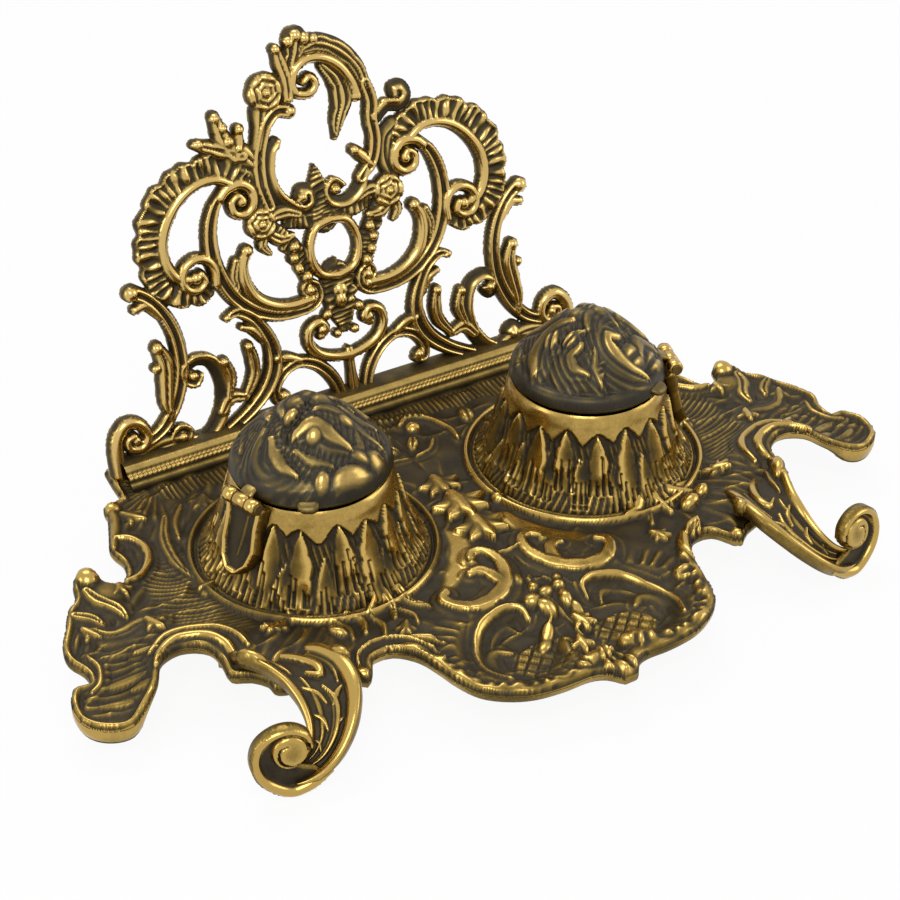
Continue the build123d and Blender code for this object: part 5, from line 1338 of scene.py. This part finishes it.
def plain(name, colour, rough, metallic=0.0, grain_mm=0.6, strength=0.1):
    mat = bpy.data.materials.new(name)
    mat.use_nodes = True
    tree = mat.node_tree
    shader = tree.nodes["Principled BSDF"]
    shader.inputs["Metallic"].default_value = metallic
    place = node(tree, "ShaderNodeTexCoord").outputs["Object"]
    grain = node(tree, "ShaderNodeTexNoise", [(place, "Vector")], in_Scale=1000 / grain_mm,
                 in_Detail=3.0).outputs["Fac"]
    light = [min(1, c * 1.25) for c in srgb(colour)[:3]] + [1]
    dark = [c * 0.75 for c in srgb(colour)[:3]] + [1]
    ramp = node(tree, "ShaderNodeValToRGB", [(grain, "Fac")])
    ramp.color_ramp.elements[0].color = dark
    ramp.color_ramp.elements[1].color = light
    tree.links.new(ramp.outputs["Color"], shader.inputs["Base Color"])
    spread = node(tree, "ShaderNodeMapRange", [(grain, "Value")], in_3=rough * 0.85,
                  in_4=min(1, rough * 1.2)).outputs[0]
    tree.links.new(spread, shader.inputs["Roughness"])
    bump = node(tree, "ShaderNodeBump", [(grain, "Height")], in_Strength=strength,
                in_Distance=0.0001)
    tree.links.new(bump.outputs["Normal"], shader.inputs["Normal"])
    return mat


black_glass = plain("pressed_black_glass", "#0B0B0D", 0.09, grain_mm=6.0, strength=0.02)
aged_steel = plain("aged_steel", "#6A6760", 0.42, metallic=1.0)


# %% Give every piece its finish and its body
def finish(piece, material, body):
    piece.data.materials.clear()
    piece.data.materials.append(material)
    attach(piece, body)


finish(gallery_work, brass_gallery, "stand")
finish(rail, brass_gallery, "stand")
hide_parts("gallery")
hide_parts("gallery")
finish(tray_work, brass_tray, "stand")
finish(tray_body, brass_tray, "stand")
finish(tray_edge, brass_tray, "stand")
for piece in (tray_work, tray_body, tray_edge):
    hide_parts("tray")
for hand in ("left", "right"):
    for piece in (arms[hand], volutes[hand]):
        finish(piece, brass_tray, "stand")
        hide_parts("tray")
    for piece in (well_shapes[hand], mouths[hand]):
        finish(piece, brass_well, "stand")
        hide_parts("well_" + hand)
    for piece in (straps[hand], knuckles[hand][0], knuckles[hand][1]):
        finish(piece, brass_well, "stand")
        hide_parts("hinge_strap_" + hand)
    for piece in (lids[hand], linings[hand], knuckles[hand][2], tabs[hand][0], tabs[hand][1]):
        finish(piece, brass_lid, "lid_%s_body" % hand)
        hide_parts("lid_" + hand)

for name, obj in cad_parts.items():
    if name.startswith("ink_pot"):
        material = black_glass
    elif "screw" in name:
        material = aged_steel
    elif name.startswith("hinge_pin"):
        material = brass_pin
    elif name.startswith("back_foot"):
        material = brass_tray
    else:
        continue
    obj.data.materials.clear()
    obj.data.materials.append(material)

# %% [markdown]
# ## Floor, light and camera

# %% Floor and world
bpy.ops.mesh.primitive_plane_add(size=40, location=(0, 0, 0))
floor = bpy.context.object
floor.name = "floor"
paper = bpy.data.materials.new("white_paper")
paper.use_nodes = True
tree = paper.node_tree
shader = tree.nodes["Principled BSDF"]
shader.inputs["Base Color"].default_value = (0.9, 0.9, 0.9, 1)
shader.inputs["Roughness"].default_value = 0.9
out = tree.nodes["Material Output"]
glow = node(tree, "ShaderNodeEmission", in_Color=(1, 1, 1, 1), in_Strength=1.0)


def straight_rays(tree):
    """1 for rays that the camera, a reflection or clear glass sends straight to a surface."""
    path = node(tree, "ShaderNodeLightPath").outputs
    first = node(tree, "ShaderNodeMath", [(path["Is Camera Ray"], 0), (path["Is Glossy Ray"], 1)],
                 operation="MAXIMUM")
    return node(tree, "ShaderNodeMath", [(first.outputs[0], 0), (path["Is Transmission Ray"], 1)],
                operation="MAXIMUM").outputs[0]


part = node(tree, "ShaderNodeMath", [(straight_rays(tree), 0)], operation="MULTIPLY", in_1=0.93)
mix = node(tree, "ShaderNodeMixShader", [(part.outputs[0], 0), (shader.outputs[0], 1),
                                         (glow.outputs[0], 2)])
tree.links.new(mix.outputs[0], out.inputs["Surface"])
floor.data.materials.append(paper)

world = bpy.data.worlds.new("studio")
bpy.context.scene.world = world
world.use_nodes = True
tree = world.node_tree
sky = tree.nodes["Background"]
sky.inputs["Color"].default_value = (1, 1, 1, 1)
sky.inputs["Strength"].default_value = 0.35
white = node(tree, "ShaderNodeBackground", in_Color=(1, 1, 1, 1), in_Strength=1.0)
mix = node(tree, "ShaderNodeMixShader", [(straight_rays(tree), 0), (sky.outputs[0], 1),
                                         (white.outputs[0], 2)])
tree.links.new(mix.outputs[0], tree.nodes["World Output"].inputs["Surface"])


# %% Soft boxes and the camera
def look(obj, place, target):
    """Put an object at a place, in metres, with its -Z axis at the target."""
    from mathutils import Vector
    obj.location = place
    obj.rotation_euler = (Vector(target) - Vector(place)).to_track_quat("-Z", "Y").to_euler()


def soft_box(name, place, size, power, colour="#FFFFFF"):
    data = bpy.data.lights.new(name, "AREA")
    data.shape = "RECTANGLE"
    data.size, data.size_y = size
    data.energy = power
    data.color = srgb(colour)[:3]
    lamp = bpy.data.objects.new(name, data)
    bpy.context.scene.collection.objects.link(lamp)
    look(lamp, place, (0, 0, 0.04))
    return lamp


soft_box("key_box", (-0.5, -0.75, 1.25), (0.7, 0.7), 8.0)
soft_box("fill_box", (1.2, -0.5, 0.7), (0.8, 0.8), 4.0)
soft_box("top_box", (0.15, 0.7, 1.3), (0.9, 0.6), 6.0)
soft_box("left_box", (-1.3, 0.15, 0.6), (0.5, 0.8), 3.5)

camera_data = bpy.data.cameras.new("camera")
camera_data.sensor_width = 36.0
camera_data.lens = 91.9
camera = bpy.data.objects.new("camera", camera_data)
bpy.context.scene.collection.objects.link(camera)
look(camera, (-0.3375, -0.5568, 0.4903), (0.0429, 0.0750, -0.0209))
camera.rotation_euler.rotate_axis("Z", radians(0.4))
bpy.context.scene.camera = camera

bpy.context.scene.view_settings.view_transform = "Standard"
